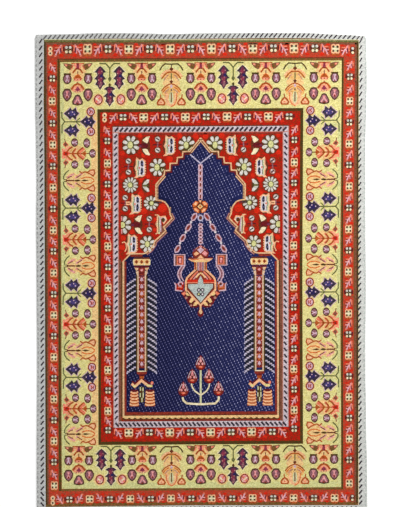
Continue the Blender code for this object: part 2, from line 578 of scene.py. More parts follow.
def branch(pen, lean):
    """A small pink branch that leans like a slash, or like a backslash, with twigs at both sides."""
    half = pen if lean == SLASH else pen.mirrored()
    half.disc("plum", SHADE, 2, 0.4, 2, 3, sides=8)
    half.stroke("pink", FORM, 1.6, (3.4, -4.6), (1.2, -1.6), (-1.2, 2.2), (-2.6, 5.8))
    half.stroke("salmon", MARK, 1.3, (3.6, -4.4), (4, 1.8))
    half.stroke("pink", MARK, 1.2, (0.9, -0.8), (1.6, 4.2))
    half.stroke("salmon", MARK, 1.2, (1.4, -2), (-3.4, -2))
    half.stroke("pink", MARK, 1.1, (-0.8, 1.2), (-4, 1))
    half.stroke("lilac", DETAIL, 0.7, (0.6, -0.8), (-1.4, 2.4), (-2.4, 5))
    for x, d in ((-2.2, -0.5), (2.7, 0.6), (-2.9, 2.8)):
        half.disc("maroon", DETAIL, x, d, 0.7, 0.8)
    half.stroke("salmon", SHADE, 1, (-4.2, 6.2), (-2, 7))
    half.disc("scarlet", SHADE, -3, -4.3, 2.2, 1.2)
    half.disc("scarlet", SHADE, 3.2, 5.8, 2.4, 1.6)


def stations_between(anchors, last):
    """Places of 0 to last, eased between the anchors, each of which is an index and a place."""
    indices, places = zip(*anchors)
    return [float(np.interp(k, indices, places)) for k in range(last + 1)]


# How a motif stands: which way it faces, and how much narrower and shorter it is than at the head
HEAD_WAY = {}
FOOT_WAY = {"across": (0.9, 0), "stretch": 0.76}
INNER_WAY = {"stretch": 0.84}
COLUMN_WAY = {"across": (0.8, 0), "stretch": 0.84}
UPTURNED = {"across": (-0.9, 0), "inward": (0, -0.78)}


def floret_row(places, white_first, lean_before_white, lean_after_white, way, branch_way=None):
    """White and ringed florets in turn, with a branch between each two."""
    for k, (u, v) in enumerate(places):
        is_white = (k % 2 == 0) == white_first
        draw = white_floret if is_white else ring_floret
        draw(placed(u, v, **way))
        if k + 1 < len(places):
            lean = lean_after_white if is_white else lean_before_white
            next_u, next_v = places[k + 1]
            branch(placed((u + next_u) / 2, (v + next_v) / 2, **(branch_way or way)), lean)


OUTER_LEFT_ANCHORS = ((0, 44.2), (2, 89.3), (10, 260), (18, 427.9), (19, 451.4))
OUTER_RIGHT_ANCHORS = ((0, 44.4), (1, 68.6), (9, 239.3), (18, 427.3), (19, 450.8))
INNER_LEFT_ANCHORS = ((0, 107.2), (1, 129.4), (7, 254), (9, 295.2), (13, 377), (14, 396.4))
INNER_RIGHT_ANCHORS = ((0, 107.2), (1, 129.4), (3, 171), (7, 254), (9, 295.2), (13, 377.2), (14, 396))


def outer_guard_florets():
    head, foot, left, right = 15.5, 465, -147.2, 148.3
    row = [(-131.5, head)] + [(-133 + 20.53 * k, head) for k in range(1, 14)]
    floret_row(row, True, SLASH, BACKSLASH, HEAD_WAY)
    half_ring_floret(placed(-149.4, head + 1.3))
    branch(placed(row[0][0] - 10.2, head), SLASH)
    branch(placed(row[-1][0] + 9.6, head + 0.6), SLASH)
    half_white_floret(placed(151, head + 1.6))
    row = [(-131.9 + 20.42 * k, foot) for k in range(14)]
    floret_row(row, True, BACKSLASH, SLASH, FOOT_WAY, UPTURNED)
    branch(placed(row[0][0] - 9.8, foot + 0.6, **UPTURNED), BACKSLASH)
    branch(placed(row[-1][0] + 9.6, foot, **UPTURNED), BACKSLASH)
    half_ring_floret(placed(-148.5, foot + 0.9))
    half_white_floret(placed(151, foot, **FOOT_WAY))
    row = [(left, v) for v in stations_between(OUTER_LEFT_ANCHORS, 19)]
    floret_row(row, True, BACKSLASH, BACKSLASH, COLUMN_WAY)
    branch(placed(left, 33, **COLUMN_WAY), BACKSLASH)
    row = [(right, v) for v in stations_between(OUTER_RIGHT_ANCHORS, 19)]
    floret_row(row, True, SLASH, SLASH, COLUMN_WAY)
    branch(placed(right, 32.5, **COLUMN_WAY), SLASH)


def inner_guard_florets():
    head, foot, left, right = 83.6, 398.8, -92.9, 93.4
    row = [(-77.1 + 20.66 * k, head) for k in range(9)]
    floret_row(row, True, SLASH, BACKSLASH, INNER_WAY)
    half_ring_floret(placed(-95.4, head))
    branch(placed(row[0][0] - 9.8, head, **INNER_WAY), SLASH)
    row = [(-72 + 20.5 * k, foot) for k in range(8)]
    floret_row(row, False, SLASH, BACKSLASH, INNER_WAY)
    branch(placed(row[0][0] - 10.3, foot, **INNER_WAY), BACKSLASH)
    branch(placed(row[-1][0] + 10.3, foot, **INNER_WAY), BACKSLASH)
    row = [(left, v) for v in stations_between(INNER_LEFT_ANCHORS, 14)]
    floret_row(row, True, BACKSLASH, BACKSLASH, COLUMN_WAY)
    row = [(right, v) for v in stations_between(INNER_RIGHT_ANCHORS, 14)]
    floret_row(row, True, SLASH, SLASH, COLUMN_WAY)
    for u, lean in ((left, BACKSLASH), (right, SLASH)):
        branch(placed(u, 96.6, **COLUMN_WAY), lean)


# ---------------------------------------------------------------- main border, head and foot

# Half of each leaf, from its tip by the stem: how far out, and how far along.
TOOTHED_LEAF = (
    (0, 4.4), (2.2, 6.2), (5.9, 10.6), (3.4, 11.2), (2.8, 13.6), (6, 17.5), (3.6, 18.2), (3.2, 19.8),
    (5, 22.8), (2.6, 24.2), (0, 28.6),
)
HANGING_LEAF = (
    (0, 24.6), (2.8, 25.2), (5.8, 27.4), (2.6, 29.2), (2.8, 31.4), (6.5, 35.4), (3.8, 35.2),
    (3.4, 37.6), (4.4, 39.6), (2.2, 41.6), (0, 45.2),
)


def glow(pen, yarn, x, d, half_x, half_d):
    """A flush of another dye in the yellow ground, round a form."""
    pen.disc(yarn, FIELD, x, d, half_x, half_d, sides=10)


def leaf(pen, outline):
    """A dark leaf that is plum inside, with redder and bluer parts and a few pale stitches."""
    halo = [(x + 1 if x else 0, d) for x, d in outline]
    pen.nested(halo, (("ivory", FIELD, 1.03),))
    pen.nested(outline, (("slate", FORM, 1),))
    core = [(min(x * 0.66, 3.5), d) for x, d in outline]
    pen.nested(core, (("plum", MARK, 0.90),))
    top, long = outline[0][1], outline[-1][1] - outline[0][1]
    for x, share, yarn in (
        (-0.6, 0.26, "cherry"), (1.2, 0.42, "indigo"), (-0.2, 0.58, "cherry"), (0.4, 0.78, "mauve"),
    ):
        pen.disc(yarn, DETAIL, x, top + long * share, 1.5, 1.9)
    for x, share in ((1.6, 0.22), (-1.6, 0.32), (0.9, 0.50), (-1.6, 0.58), (0.6, 0.68), (-0.4, 0.84)):
        pen.disc("clay", TOP, x, top + long * share, 0.6, 0.7)


def rosette(pen, x, d, half_x, half_d):
    """An oval flower: a dark rim, a dull fill and a pale hourglass with a red eye."""
    flower = pen.moved(x, d)
    flower.disc("bark", FORM, 0, 0, half_x, half_d)
    flower.disc("mauve", MARK, 0, 0, half_x - 1.3, half_d - 1.3)
    upper, lower = half_d * 0.46, half_d * 0.4
    flower.even_patch("lilac", DETAIL, (1.5, -upper - 0.9), (0.6, -0.4), (2, lower + 1.1))
    flower.disc("brick", TOP, 0, lower + 0.6, 0.7, 0.8)


def flat_rosette(pen, x, d, half_x, half_d):
    """A rosette under a flat dark bar."""
    rosette(pen, x, d, half_x, half_d)
    reach = half_x * 0.8
    pen.stroke("moss", DETAIL, 1.5, (x - reach, d - half_d + 0.6), (x + reach, d - half_d + 0.6))


def carnation(pen):
    glow(pen, "amber", 0, 12, 7, 9)
    glow(pen, "amber", 0, 27, 7.2, 5)
    for half in pen.halves():
        bud = ((4.3, 3.4), (4.8, 6.2), (7.6, 8.6), (10, 7.6), (13.6, 4), (14.6, 1.6), (9, 2))
        half.patch("umber", FORM, *bud)
        half.patch("coral", MARK, (13.2, 2.6), (10.4, 2.8), (10.4, 4.8), (12.2, 4.4))
        half.disc("olive", MARK, 8, 5.4, 2.4, 2.2)
        half.stroke("salmon", MARK, 0.9, (5.2, 3.2), (5.2, 6), (6.6, 7.6))
        half.stroke("amber", SHADE, 2.4, (3.4, 3.2), (5.6, 8), (8.2, 11.6))
        half.stroke("rust", FORM, 1.6, (0.6, 7.2), (2.4, 8), (5, 11.6))
        half.stroke("rust", FORM, 1.9, (0, 22.2), (3.2, 23.6), (6.4, 28))
        half.stroke("coral", FORM, 1.5, (0.4, 24.4), (3, 26.2), (4.8, 29.4))
        flat_rosette(half, 10.4, 17.3, 4.4, 5.4)
        lower = ((0, 26.8), (2.8, 27.4), (4.9, 31.4), (4.2, 35.4), (2.2, 38.6), (0, 40.2))
        half.moved(10.4, 0).nested(lower, (("bark", FORM, 1), ("mauve", MARK, 0.76)))
        half.patch(
            "pink", DETAIL, (8.9, 29.4), (11.9, 29.4), (10.9, 32.4), (12.3, 36.2), (8.5, 36.2),
            (9.9, 32.4),
        )
        half.disc("brick", TOP, 10.4, 35.6, 1, 1.2)
    pen.even_patch("coral", FORM, (4.8, 2), (2.2, 7.4))
    pen.even_patch("brick", MARK, (1.5, 1.4), (1.1, 3.4), (1.6, 8))
    pen.even_patch("cherry", DETAIL, (0.9, 3), (0.9, 6.8))
    pen.bar("rust", FORM, 1.2, 6.4, 2)
    pen.stem("umber", FORM, 0.9, 9.6, 13.6)
    pen.even_patch("orange", FORM, (0, 12.4), (-2.4, 14), (-4.4, 17.6))
    pen.even_patch("rust", MARK, (0, 13.2), (-1.8, 14.6), (-3.6, 16.8))
    pen.patch("coral", MARK, (-2.6, 17), (2.6, 17), (3.4, 19.6), (0, 19), (-3.4, 19.6))
    for x in (-3, 0, 3):
        pen.disc("brick", DETAIL, x, 18.2, 0.6)
    pen.stem("umber", FORM, 0.9, 20.4, 22.4)
    pen.even_patch("coral", SHADE, (0, 23.8), (-3.8, 29.8))
    pen.even_patch("cherry", FORM, (0, 24.8), (-2.8, 28.4), (0, 29.8))
    for x in (-2.4, 0, 2.4):
        pen.disc("clay", FORM, x, 30.2, 0.8)
    heart = ((0, 32.8), (2.4, 33.8), (5.5, 40.2), (5, 43), (0, 44.2))
    pen.nested(heart, (("bark", FORM, 1), ("mauve", MARK, 0.74)))
    pen.disc("pink", DETAIL, 0, 36.4, 1.3, 1.2)
    pen.stroke("pink", DETAIL, 1.4, (-3, 42), (0, 37.2), (3, 42))
    pen.disc("brick", DETAIL, 0, 42, 1.2, 0.9)


def leaf_spray(pen):
    for half in pen.halves():
        half.stroke("green", FORM, 1.3, (10.3, 2), (4.2, 2), (2.2, 4), (0, 6.8))
        glow(half, "lime", 5.2, 12, 3.6, 8)
    pen.stem("green", FORM, 1.2, 6.4, 16.2)
    pen.diamond("green", FORM, 0, 17.4, 1.9, 3.2)
    pen.diamond("moss", FORM, 0, 23.4, 1.5, 2)
    for x in (-9.5, 9.3):
        leaf(pen.moved(x, 0), TOOTHED_LEAF)
    leaf(pen, HANGING_LEAF)
    for half in pen.halves():
        glow(half, "amber", 11.3, 38.2, 6.4, 6.6)
        ring = half.moved(11.2, 38)
        ring.disc("brick", FORM, 0, 0, 4.5, 5.4)
        ring.disc("pink", MARK, 0, 0, 3.3, 4.2)
        ring.stroke("salmon", DETAIL, 1.5, (-2.4, -2.8), (0.6, 0.2), (2.4, 3))
        ring.stroke("ivory", DETAIL, 1.5, (2.4, -1.6), (0.2, 0.6), (-2, 3))
        ring.disc("pink", TOP, -0.6, 1.8, 0.9)


def tree(pen):
    for yarn, d, half_x, half_d in (
        ("straw", 14, 9.8, 5.6), ("amber", 22, 9, 5), ("straw", 31, 9.8, 6.4), ("amber", 39.4, 11, 6),
    ):
        glow(pen, yarn, 0, d, half_x, half_d)
    for half in pen.halves():
        half.stroke("moss", FORM, 1.3, (11.6, 9.3), (9.4, 5.4), (6.4, 2.7), (0, 3.1))
        glow(half, "lime", 5, 6.4, 3, 2.4)
        half.stroke("rust", FORM, 1.3, (9.6, 17.8), (6.8, 13.8), (3.6, 11.2), (0, 10.9))
        half.stroke("peach", SHADE, 1.6, (10.8, 15.8), (8.4, 12.2), (4.8, 9.6), (1.4, 9))
        half.stroke("clay", SHADE, 1, (7.4, 19.4), (5.2, 15.8), (3, 13.6))
        half.stroke("rust", FORM, 1.2, (9.8, 30), (7.2, 26.4), (3.4, 23.8), (0, 22.6))
        half.stroke("orange", SHADE, 1, (8.4, 31.2), (5.8, 27.8), (2.4, 25.6))
        half.stroke("clay", SHADE, 1, (6.6, 32), (4.4, 29.4), (2, 28))
        half.stroke("peach", SHADE, 2.4, (4.4, 31.8), (4.8, 38.4), (3, 42.6), (0, 45))
        half.stroke("orange", SHADE, 0.9, (5.6, 32), (5.2, 39), (3, 43.6), (0, 45.6))
        drop = half.moved(10.1, 0)
        drop.stroke("rust", FORM, 1.1, (0.8, 33.2), (0.2, 37))
        drop.patch(
            "rust", FORM, (0.2, 36.2), (-2.6, 38.2), (-4.6, 41.8), (-3.4, 44.4), (3.6, 44.4),
            (4.6, 41.8), (2.8, 38.2),
        )
        drop.patch("peach", MARK, (0, 38), (-2.9, 41.4), (-2.2, 43), (2.4, 43), (2.9, 41.4))
        drop.disc("salmon", DETAIL, 0, 41.4, 1, 0.7)
    pen.diamond("brown", FORM, 0, 7.9, 2.2, 2.2)
    pen.stem("slate", FORM, 0.9, 3.2, 6.4)
    pen.stem("green", FORM, 1.1, 12, 18.4)
    pen.diamond("brown", FORM, 0, 20.6, 1.9, 2)
    pen.disc("lilac", FORM, 0, 25.2, 1.3, 1.7)
    pen.diamond("slate", FORM, 0, 28.9, 0.9, 1.2)
    pen.disc("sage", FORM, 0, 36.8, 2.2, 6.2)
    pen.stem("olive", MARK, 1.2, 31.4, 41.2)


# ---------------------------------------------------------------- main border, sides

# The outline of a fish-shaped leaf, from the tip by the border's edge and round: x along, d inward.
FISH_LEAF = (
    (0, -7.6), (-4.2, -2.4), (-5.9, -1.2), (-3.2, 0.6), (-5.9, 4.2), (-2.2, 5.2), (0, 7.6), (3, 4.8),
    (6.4, 4.2), (3.6, 0.8), (6, -1.6), (3.6, -3.4),
)


def fish_leaf(pen, x, d, core):
    """A small dark leaf with two prongs at each side."""
    fish = pen.moved(x, d)
    fish.patch("lilac", FIELD, *[(x * 1.16, d * 1.12) for x, d in FISH_LEAF])
    fish.patch("slate", FORM, *FISH_LEAF)
    fish.patch(core, MARK, (0, -4.8), (-2.6, -1), (-2.4, 3), (0, 5.2), (2.4, 3), (2.6, -1))
    for speck_x, speck_d in ((-0.2, -2.8), (0.9, 2.8), (-1.4, 1)):
        fish.disc("lilac", DETAIL, speck_x, speck_d, 0.75, 0.7)


def side_leaf_spray(pen):
    pen.stroke("green", FORM, 1.2, (-10, 1), (-3.8, 1.2), (-0.2, 3.9), (3.4, 1.2), (11.4, 1))
    pen.stem("green", FORM, 1.2, 3.6, 19.4)
    for half in pen.halves():
        glow(half, "lime", 4.4, 9, 2.6, 6.4)
        half.stroke("green", FORM, 1, (0, 14.8), (3.8, 19))
        ring = half.moved(10, 29.8)
        glow(ring, "amber", 0, 0, 5.6, 5.2)
        ring.disc("brick", FORM, 0, 0, 4.6, 4.3)
        ring.disc("lilac", MARK, 0, 0, 3.4, 3.1)
        ring.disc("pink", DETAIL, -0.4, 0.2, 2.2, 2.2)
        ring.stroke("brick", TOP, 0.9, (-2, -1.4), (0.2, 0), (2.2, -1.2))
        ring.stroke("brick", TOP, 0.8, (-1.6, 1.6), (1.6, 1.2))
    for x in (-8.3, 8.5):
        fish_leaf(pen, x, 10.7, "violet")
    fish_leaf(pen, 0, 26.8, "indigo")


def side_carnation(pen):
    glow(pen, "peach", 0, 5.4, 4.8, 4.8)
    glow(pen, "amber", 0, 13, 8.6, 12)
    pen.even_patch("coral", SHADE, (5.4, 0.6), (4, 5.4), (1.6, 8.6))
    pen.even_patch("scarlet", FORM, (1.8, 1.8), (2.2, 4.4), (0.8, 7.2))
    pen.patch("brick", MARK, (-1.4, 3.4), (1.4, 3.4), (0, 6.4))
    pen.stem("rust", FORM, 1.2, 7.4, 23.6)
    pen.stem("olive", FORM, 1, 23.6, 27.8)
    for half in pen.halves():
        half.stroke("coral", SHADE, 1.8, (4.4, 4.4), (7, 9))
        half.stroke("rust", FORM, 1.6, (1.6, 5.4), (4.8, 8), (6.8, 11.2))
        half.stroke("coral", SHADE, 2.2, (0.6, 11.6), (3.6, 13.4), (5.2, 15))
        half.stroke("rust", FORM, 1.7, (0, 10.8), (2.8, 12.4), (4.9, 14.4))
        half.stroke("straw", SHADE, 1.6, (1.8, 8.8), (5.4, 12.4))
        half.stroke("rust", FORM, 1.8, (0, 15.6), (2.8, 17.8), (6.2, 22))
        half.stroke("salmon", FORM, 2.2, (0.6, 18.2), (2.2, 19.6), (4.8, 23))
        half.stroke("umber", FORM, 0.9, (14.6, 3.4), (10.8, 4.2))
        half.patch("salmon", FORM, (12.4, 4.2), (9.2, 1.4), (5.8, 4), (8.6, 7.6))
        half.patch("umber", MARK, (11.6, 4.2), (9.2, 2.4), (7, 4), (8.6, 6.6))
        rosette(half, 11, 13.3, 4.4, 3.6)
        rosette(half, 10.4, 25.4, 5, 3.5)
    pen.even_patch("rust", FORM, (0, 20), (3.6, 24.4), (1.2, 24.2), (0, 25.4))
    rosette(pen, 0, 31, 4.6, 3.4)


SIDE_DROP = ((7.8, 25.8), (10.3, 28.8), (10.6, 32.6), (7.6, 33.4), (4.3, 31.8), (6.4, 29))


def side_tree(pen):
    glow(pen, "amber", 0, 11, 8.4, 7)
    glow(pen, "amber", 0, 23, 9.8, 8.8)
    for x in (-0.9, 0.9):
        pen.stroke("moss", FORM, 0.8, (x, 2.6), (x, 5.6))
    pen.stem("brown", FORM, 1.3, 4.6, 12.8)
    pen.patch("moss", FORM, (0, 12.4), (-1.2, 16.4), (-0.2, 19.2), (0.8, 18), (1.1, 15))
    pen.even_patch("moss", FORM, (0, 19.8), (-1, 23), (0, 27.8))
    for half in pen.halves():
        half.stroke("green", FORM, 1.2, (10.3, 7.4), (7.4, 4.2), (4.2, 2.3), (1.2, 2.3))
        half.stroke("pink", SHADE, 1.6, (2.6, 5.6), (5, 9.2), (6.6, 12.6))
        half.stroke("umber", FORM, 1, (2, 6), (3.6, 8.2), (4.2, 10.6))
        half.stroke("pink", SHADE, 1.8, (2.4, 13.8), (5.4, 18.6), (7.4, 21.2))
        half.stroke("umber", FORM, 1, (2.8, 15), (5.8, 19.8))
        half.stroke("rust", FORM, 1.2, (9.4, 18), (7.2, 20.6), (8.6, 23.4), (8, 26.2))
        half.stroke("orange", SHADE, 1.1, (1.8, 19.6), (3.4, 24), (3, 29.4), (0.4, 32.8))
        half.stroke("straw", SHADE, 2, (4.2, 14.6), (6.2, 18.8), (5.6, 23.4))
        half.patch("peach", FORM, *SIDE_DROP)
        half.stroke("rust", MARK, 1.2, *SIDE_DROP, closed=True)


END_FORMS = "carnation leaf carnation tree carnation leaf carnation tree carnation".split()
END_PLACES = (-122.2, -90.2, -58.4, -29.2, 0.1, 32.5, 64.9, 93.9, 122.9)
FOOT_STRETCH = 0.92
SIDE_FORMS = "leaf carnation tree".split() * 4
SIDE_PLACES = (87.6, 119.6, 146.6, 173.9, 205.8, 232, 259.4, 290.3, 316.6, 343.4, 374.7, 400)
DYE_CHANGE = BAND + 0.5  # over the yellow, and under all that is drawn on it


def dye_changes():
    """Strips where the border's yellow is paler, at the outer edge, or warmer, at the left inner edge."""
    left, head, right, foot = YELLOW
    area("lime", DYE_CHANGE, Box(left + 0.2, head + 1, left + 3.6, foot - 0.2))
    area("lime", DYE_CHANGE, Box(right - 3.4, 90, right - 0.2, foot - 0.2))
    area("lime", DYE_CHANGE, Box(left + 4, foot - 6, right - 4, foot - 0.2))
    area("amber", DYE_CHANGE, Box(-109, 80, INNER_LINE.left - 0.2, INNER_LINE.foot))


def main_border():
    end_forms = {"carnation": carnation, "leaf": leaf_spray, "tree": tree}
    side_forms = {"carnation": side_carnation, "leaf": side_leaf_spray, "tree": side_tree}
    for form, u in zip(END_FORMS, END_PLACES):
        end_forms[form](placed(u, YELLOW.head - 0.4))
        end_forms[form](placed(u, INNER_LINE.foot - 0.5, stretch=FOOT_STRETCH))
    for form, v in zip(SIDE_FORMS, SIDE_PLACES):
        side_forms[form](placed(YELLOW.left + 0.7, v, across=(0, 1), inward=(1, 0)))
        side_forms[form](placed(YELLOW.right - 0.9, v, across=(0, 1), inward=(-1, 0)))


# ---------------------------------------------------------------- niche: arch and spandrels

# Half of the arch, from its tip outward. x is the distance from the niche's middle.
ARCH = (
    (0, 104.6), (10.8, 118.1), (17.7, 118.3), (18.1, 123.7), (23.1, 124.1), (23.7, 129.7), (30.3, 130),
    (30.7, 136.9), (35.8, 137.2), (36.4, 141.4), (43.2, 149.2), (44.6, 151.2), (44.6, 166.3),
    (39.4, 167), (35.8, 168.4), (33, 171.8), (31.2, 175.6), (30.6, 180.6), (28.6, 184.8), (32.6, 189.2),
    (36.9, 193.4), (34.8, 197.3), (40.4, 202.6), (45.9, 207.5), (46.8, 211), (50.6, 216.1), (55, 219.5),
    (58.2, 220.1), (70.2, 220.1),
)
ARCH_TIP = ARCH[:2]
ARCH_STEPS = ARCH[1:10]
ARCH_NECK = ARCH[9:12]
ARCH_HAUNCH = ARCH[17:21]
ARCH_FOOT = ARCH[21:27]
ARCH_SHELF = ARCH[27:]
NICHE_SIDE = 77.4
SPRING = 227.4  # where the arch meets the niche's side line
NICHE_FOOT_LINE = 383.1
TOOTH_PITCH = 1.45


def arch_outline():
    """The blue field's outline, clear of the lines round it."""
    field = beside((*ARCH, (NICHE_SIDE, SPRING), (NICHE_SIDE, NICHE_FOOT_LINE)), 3.8)
    return [(-x, v) for x, v in field] + field[::-1]


def spandrels():
    edge = NICHE.right
    for half in Pen(0, 0).halves():
        inner = (NICHE_SIDE, SPRING), (NICHE_SIDE, NICHE.foot)
        half.patch("red", FIELD, *ARCH, *inner, (edge, NICHE.foot), (edge, NICHE.head), (0, NICHE.head))
        half.stroke("brick", SHADE, 1.5, (0, 100.4), (edge, 100.4))
        arch_lines(half)
        side_lines(half, edge)
    area("brick", FIELD, Box(-NICHE_SIDE, 378.4, NICHE_SIDE, NICHE.foot))
    foot_lines()


def arch_lines(half):
    half.stroke("buff", DETAIL, 1.3, *ARCH, (NICHE_SIDE, SPRING))
    half.stroke("maroon", SHADE, 1.8, *beside(ARCH_STEPS, 1.5))
    for run, second in (
        (ARCH_TIP, "buff"), (ARCH_NECK, "buff"), (ARCH_HAUNCH, "clay"), (ARCH_FOOT, "clay"),
    ):
        half.stroke("umber", FORM, 1.1, *beside(run, 1.1))
        half.stroke(second, DETAIL, 0.9, *beside(run, 2.1))
        half.stroke("indigo", SHADE, 1.4, *beside(run, 3.1))
    half.stroke("brick", FORM, 2.2, *beside(ARCH_SHELF, 1.9))
    half.stroke("slate", DETAIL, 1.2, (46.1, 168.9), (38.6, 168.9))
    half.stroke("brown", DETAIL, 2.6, (43.9, 151.4), (43.9, 165.6))
    for head, foot, x, reach in ((151.6, 166, 43.6, 1.4), (174, 182.5, 30.2, 0.7)):
        for i in range(round((foot - head) / TOOTH_PITCH)):
            v = head + i * TOOTH_PITCH
            half.stroke("buff", TOP, 0.65, (x - reach, v), (x + reach, v))


def side_lines(half, edge):
    """The straight lines under the spring, from the guard inward."""
    head, foot = SPRING + 0.4, NICHE_FOOT_LINE
    half.stroke("umber", SHADE, 2.4, (edge - 1.2, head - 2), (edge - 1.2, NICHE.foot))
    half.stroke("moss", FORM, 1, (78.9, head), (78.9, foot))
    half.stroke("buff", MARK, 1.8, (NICHE_SIDE, head - 0.4), (NICHE_SIDE, foot))
    half.stroke("brick", SHADE, 2.1, (75.5, head), (75.5, foot))


def foot_lines():
    left, right = -NICHE_SIDE, NICHE_SIDE
    line_across("brown", SHADE, 1, 381.6, left, right)
    line_across("amber", MARK, 2, NICHE_FOOT_LINE, left - 0.9, right + 0.9)
    line_across("moss", FORM, 1.5, 385.1, left - 1.4, right + 1.4)
    scallop, pitch = 384.2, 5.8
    for i in range(round((right - left) / pitch)):
        u = left + (i + 0.5) * pitch
        stroke("amber", MARK, 0.9, [(u - 1.9, scallop), (u, scallop + 0.6), (u + 1.9, scallop)])


PETAL = (
    (-1, 0.45), (-0.3, 0.95), (0.5, 1), (0.95, 0.5), (0.95, -0.5), (0.5, -1), (-0.3, -0.95),
    (-1, -0.45),
)


PETAL_LONG, PETAL_WIDE, PETAL_MIDDLE = 0.3, 1.66, 0.71  # as shares of the flower's half size


def petals(pen, half_x, half_d, count, left_out=()):
    """Grey-white petals in a ring, counted from the outer side, below first."""
    long, wide = PETAL_LONG * half_d, PETAL_WIDE * half_x / count
    for i in range(count):
        if i in left_out:
            continue
        turn = 2 * math.pi * (i + 0.5) / count
        x, d = math.cos(turn), math.sin(turn)
        middle_x, middle_d = PETAL_MIDDLE * half_x * x, PETAL_MIDDLE * half_d * d
        pen.patch("chalk", MARK, *leaning(PETAL, (middle_x, middle_d), (long, wide), (x, d)))
        pen.disc("white", DETAIL, middle_x * 1.06, middle_d * 1.06, wide * 0.55, sides=6)


def daisy(pen, half_x, half_d, count=8, eye=(0, 2.5, 3.4), left_out=()):
    """Petals, parted by dark gaps, round a yellow-green eye, which is a shift and half its size."""
    eye_x, eye_half_x, eye_half_d = eye
    pen.disc("brown", SHADE, 0, 0, half_x + 0.9, half_d + 0.9)
    pen.disc("moss", FORM, 0, 0, half_x * 0.84, half_d * 0.84)
    petals(pen, half_x, half_d, count, left_out)
    pen.disc("green", DETAIL, eye_x, 0, eye_half_x + 0.6, eye_half_d + 0.7)
    pen.disc("lime", TOP, eye_x, 0, eye_half_x, eye_half_d, sides=12)


def half_daisy(pen):
    """A daisy that the niche's side cuts in two. x grows outward."""
    cut = 1.3
    ground = ((cut, -9.8), (-4, -9.8), (-9, -5), (-9.8, 0), (-9, 5), (-4, 9.8), (cut, 9.8))
    pen.patch("brown", SHADE, *ground)
    pen.patch("moss", FORM, (cut, -7.6), (-3.6, -7), (-7.4, -2.8), (-7.4, 2.8), (-3.6, 7), (cut, 7.6))
    petals(pen, 9, 9.2, 8, left_out=(0, 1, 6, 7))
    pen.patch("lime", TOP, (cut, -2.8), (-1.4, -2.8), (-2.6, -1.2), (-2.6, 1.2), (-1.4, 2.8), (cut, 2.8))
    for head, foot in ((-8.6, -4.2), (4.2, 8.6)):
        pen.stroke("pink", DETAIL, 1.2, (0.6, head), (0.6, foot))


def roundels(pen):
    """Two white roundels, one over the other, with a dark bar between them."""
    for d in (-5.5, 5.5):
        pen.disc("brown", SHADE, 0, d, 3.5)
        pen.disc("clay", FORM, 0, d, 2.7)
        pen.disc("chalk", FORM, 0.1, d, 2.3)
        pen.stroke("slate", MARK, 1.2, (-1.7, d + 1.1), (1.5, d - 1.1))
        pen.disc("white", MARK, -1, d - 1.1, 0.8)
        pen.disc("white", MARK, 1, d + 1.2, 0.8)
    pen.stroke("maroon", SHADE, 1.2, (-4.4, 0), (4.6, 0))
    pen.stroke("mauve", SHADE, 1.3, (-0.2, -2.2), (0.2, 2.2))


UPPER_CRESCENT = ((-4.1, -9.6), (-0.4, -8.8), (3.3, -5.6), (1.7, -4), (-1.4, -2.4), (-2.4, -4.4), (-3, -7))
LOWER_CRESCENT = (
    (-4.3, 8.4), (-3.4, 9.6), (-0.1, 8.8), (2.4, 5.8), (3.4, 3.4), (0.4, 2.9), (-1.7, 3.6), (-2.6, 6),
)
PLUM_BETWEEN = ((6.9, -1.6), (3.9, -2.7), (-1.6, -2.2), (-2.6, 0.3), (-1.1, 2.3), (3.4, 2), (6.9, 1.2))


def crescents(pen):
    """Two crescents that face each other, with a plum patch between them."""
    pen.disc("brown", SHADE, 0.2, 0, 4.6, 9.6)
    pen.patch("maroon", FORM, *PLUM_BETWEEN)
    pen.disc("plum", MARK, 5.6, 0.4, 1.6, 1.2)
    for crescent in (UPPER_CRESCENT, LOWER_CRESCENT):
        pen.patch("ivory", FORM, *crescent)


def butterfly(pen):
    """Two wings round a dark wedge, one over the other."""
    pen.disc("brown", SHADE, 0.2, 0.2, 4.2, 7.2)
    pen.disc("moss", FORM, 0, 0.2, 2.6, 5.6, sides=8)
    for side in (-1, 1):
        wing = ((3.3, 0.9), (1.6, 3.6), (-1.2, 6.2), (-3.4, 6), (-2.8, 3.2), (-0.6, 1.1))
        pen.patch("chalk", MARK, *[(x, side * d) for x, d in wing])
        pen.disc("white", DETAIL, -1.6, side * 4.6, 1, sides=6)
    pen.patch("green", DETAIL, (3.6, 0.1), (0.4, -1.1), (-3, 0), (0.4, 1.3))


# A vase, x growing towards its teeth
VASE = (
    (-4.1, -10.3), (-1.1, -7.9), (2, -9), (5.3, -6.2), (4.3, -5), (5.7, -3.8), (4.3, -2.6), (5.7, -1.4),
    (4.3, -0.1), (5.7, 1.1), (4.3, 2.3), (5.7, 3.5), (4.3, 4.7), (5.6, 5.9), (4.3, 7), (4.6, 7.9),
    (1.6, 9.7), (-1.5, 9.4), (-3.5, 10.5), (-7, 10.7), (-4.7, 8.4), (-4.7, 3.7), (-6.2, 0.5),
    (-4.7, -2.6), (-4.7, -7.8),
)
VASE_INSIDE = (
    (-3.5, -8.4), (-1, -6.4), (1.8, -7.6), (3.8, -5.4), (3.9, 7.2), (1.4, 8.3), (-1.4, 8), (-3.5, 9.2),
    (-3.6, 3.2), (-5, 0.5), (-3.6, -2),
)


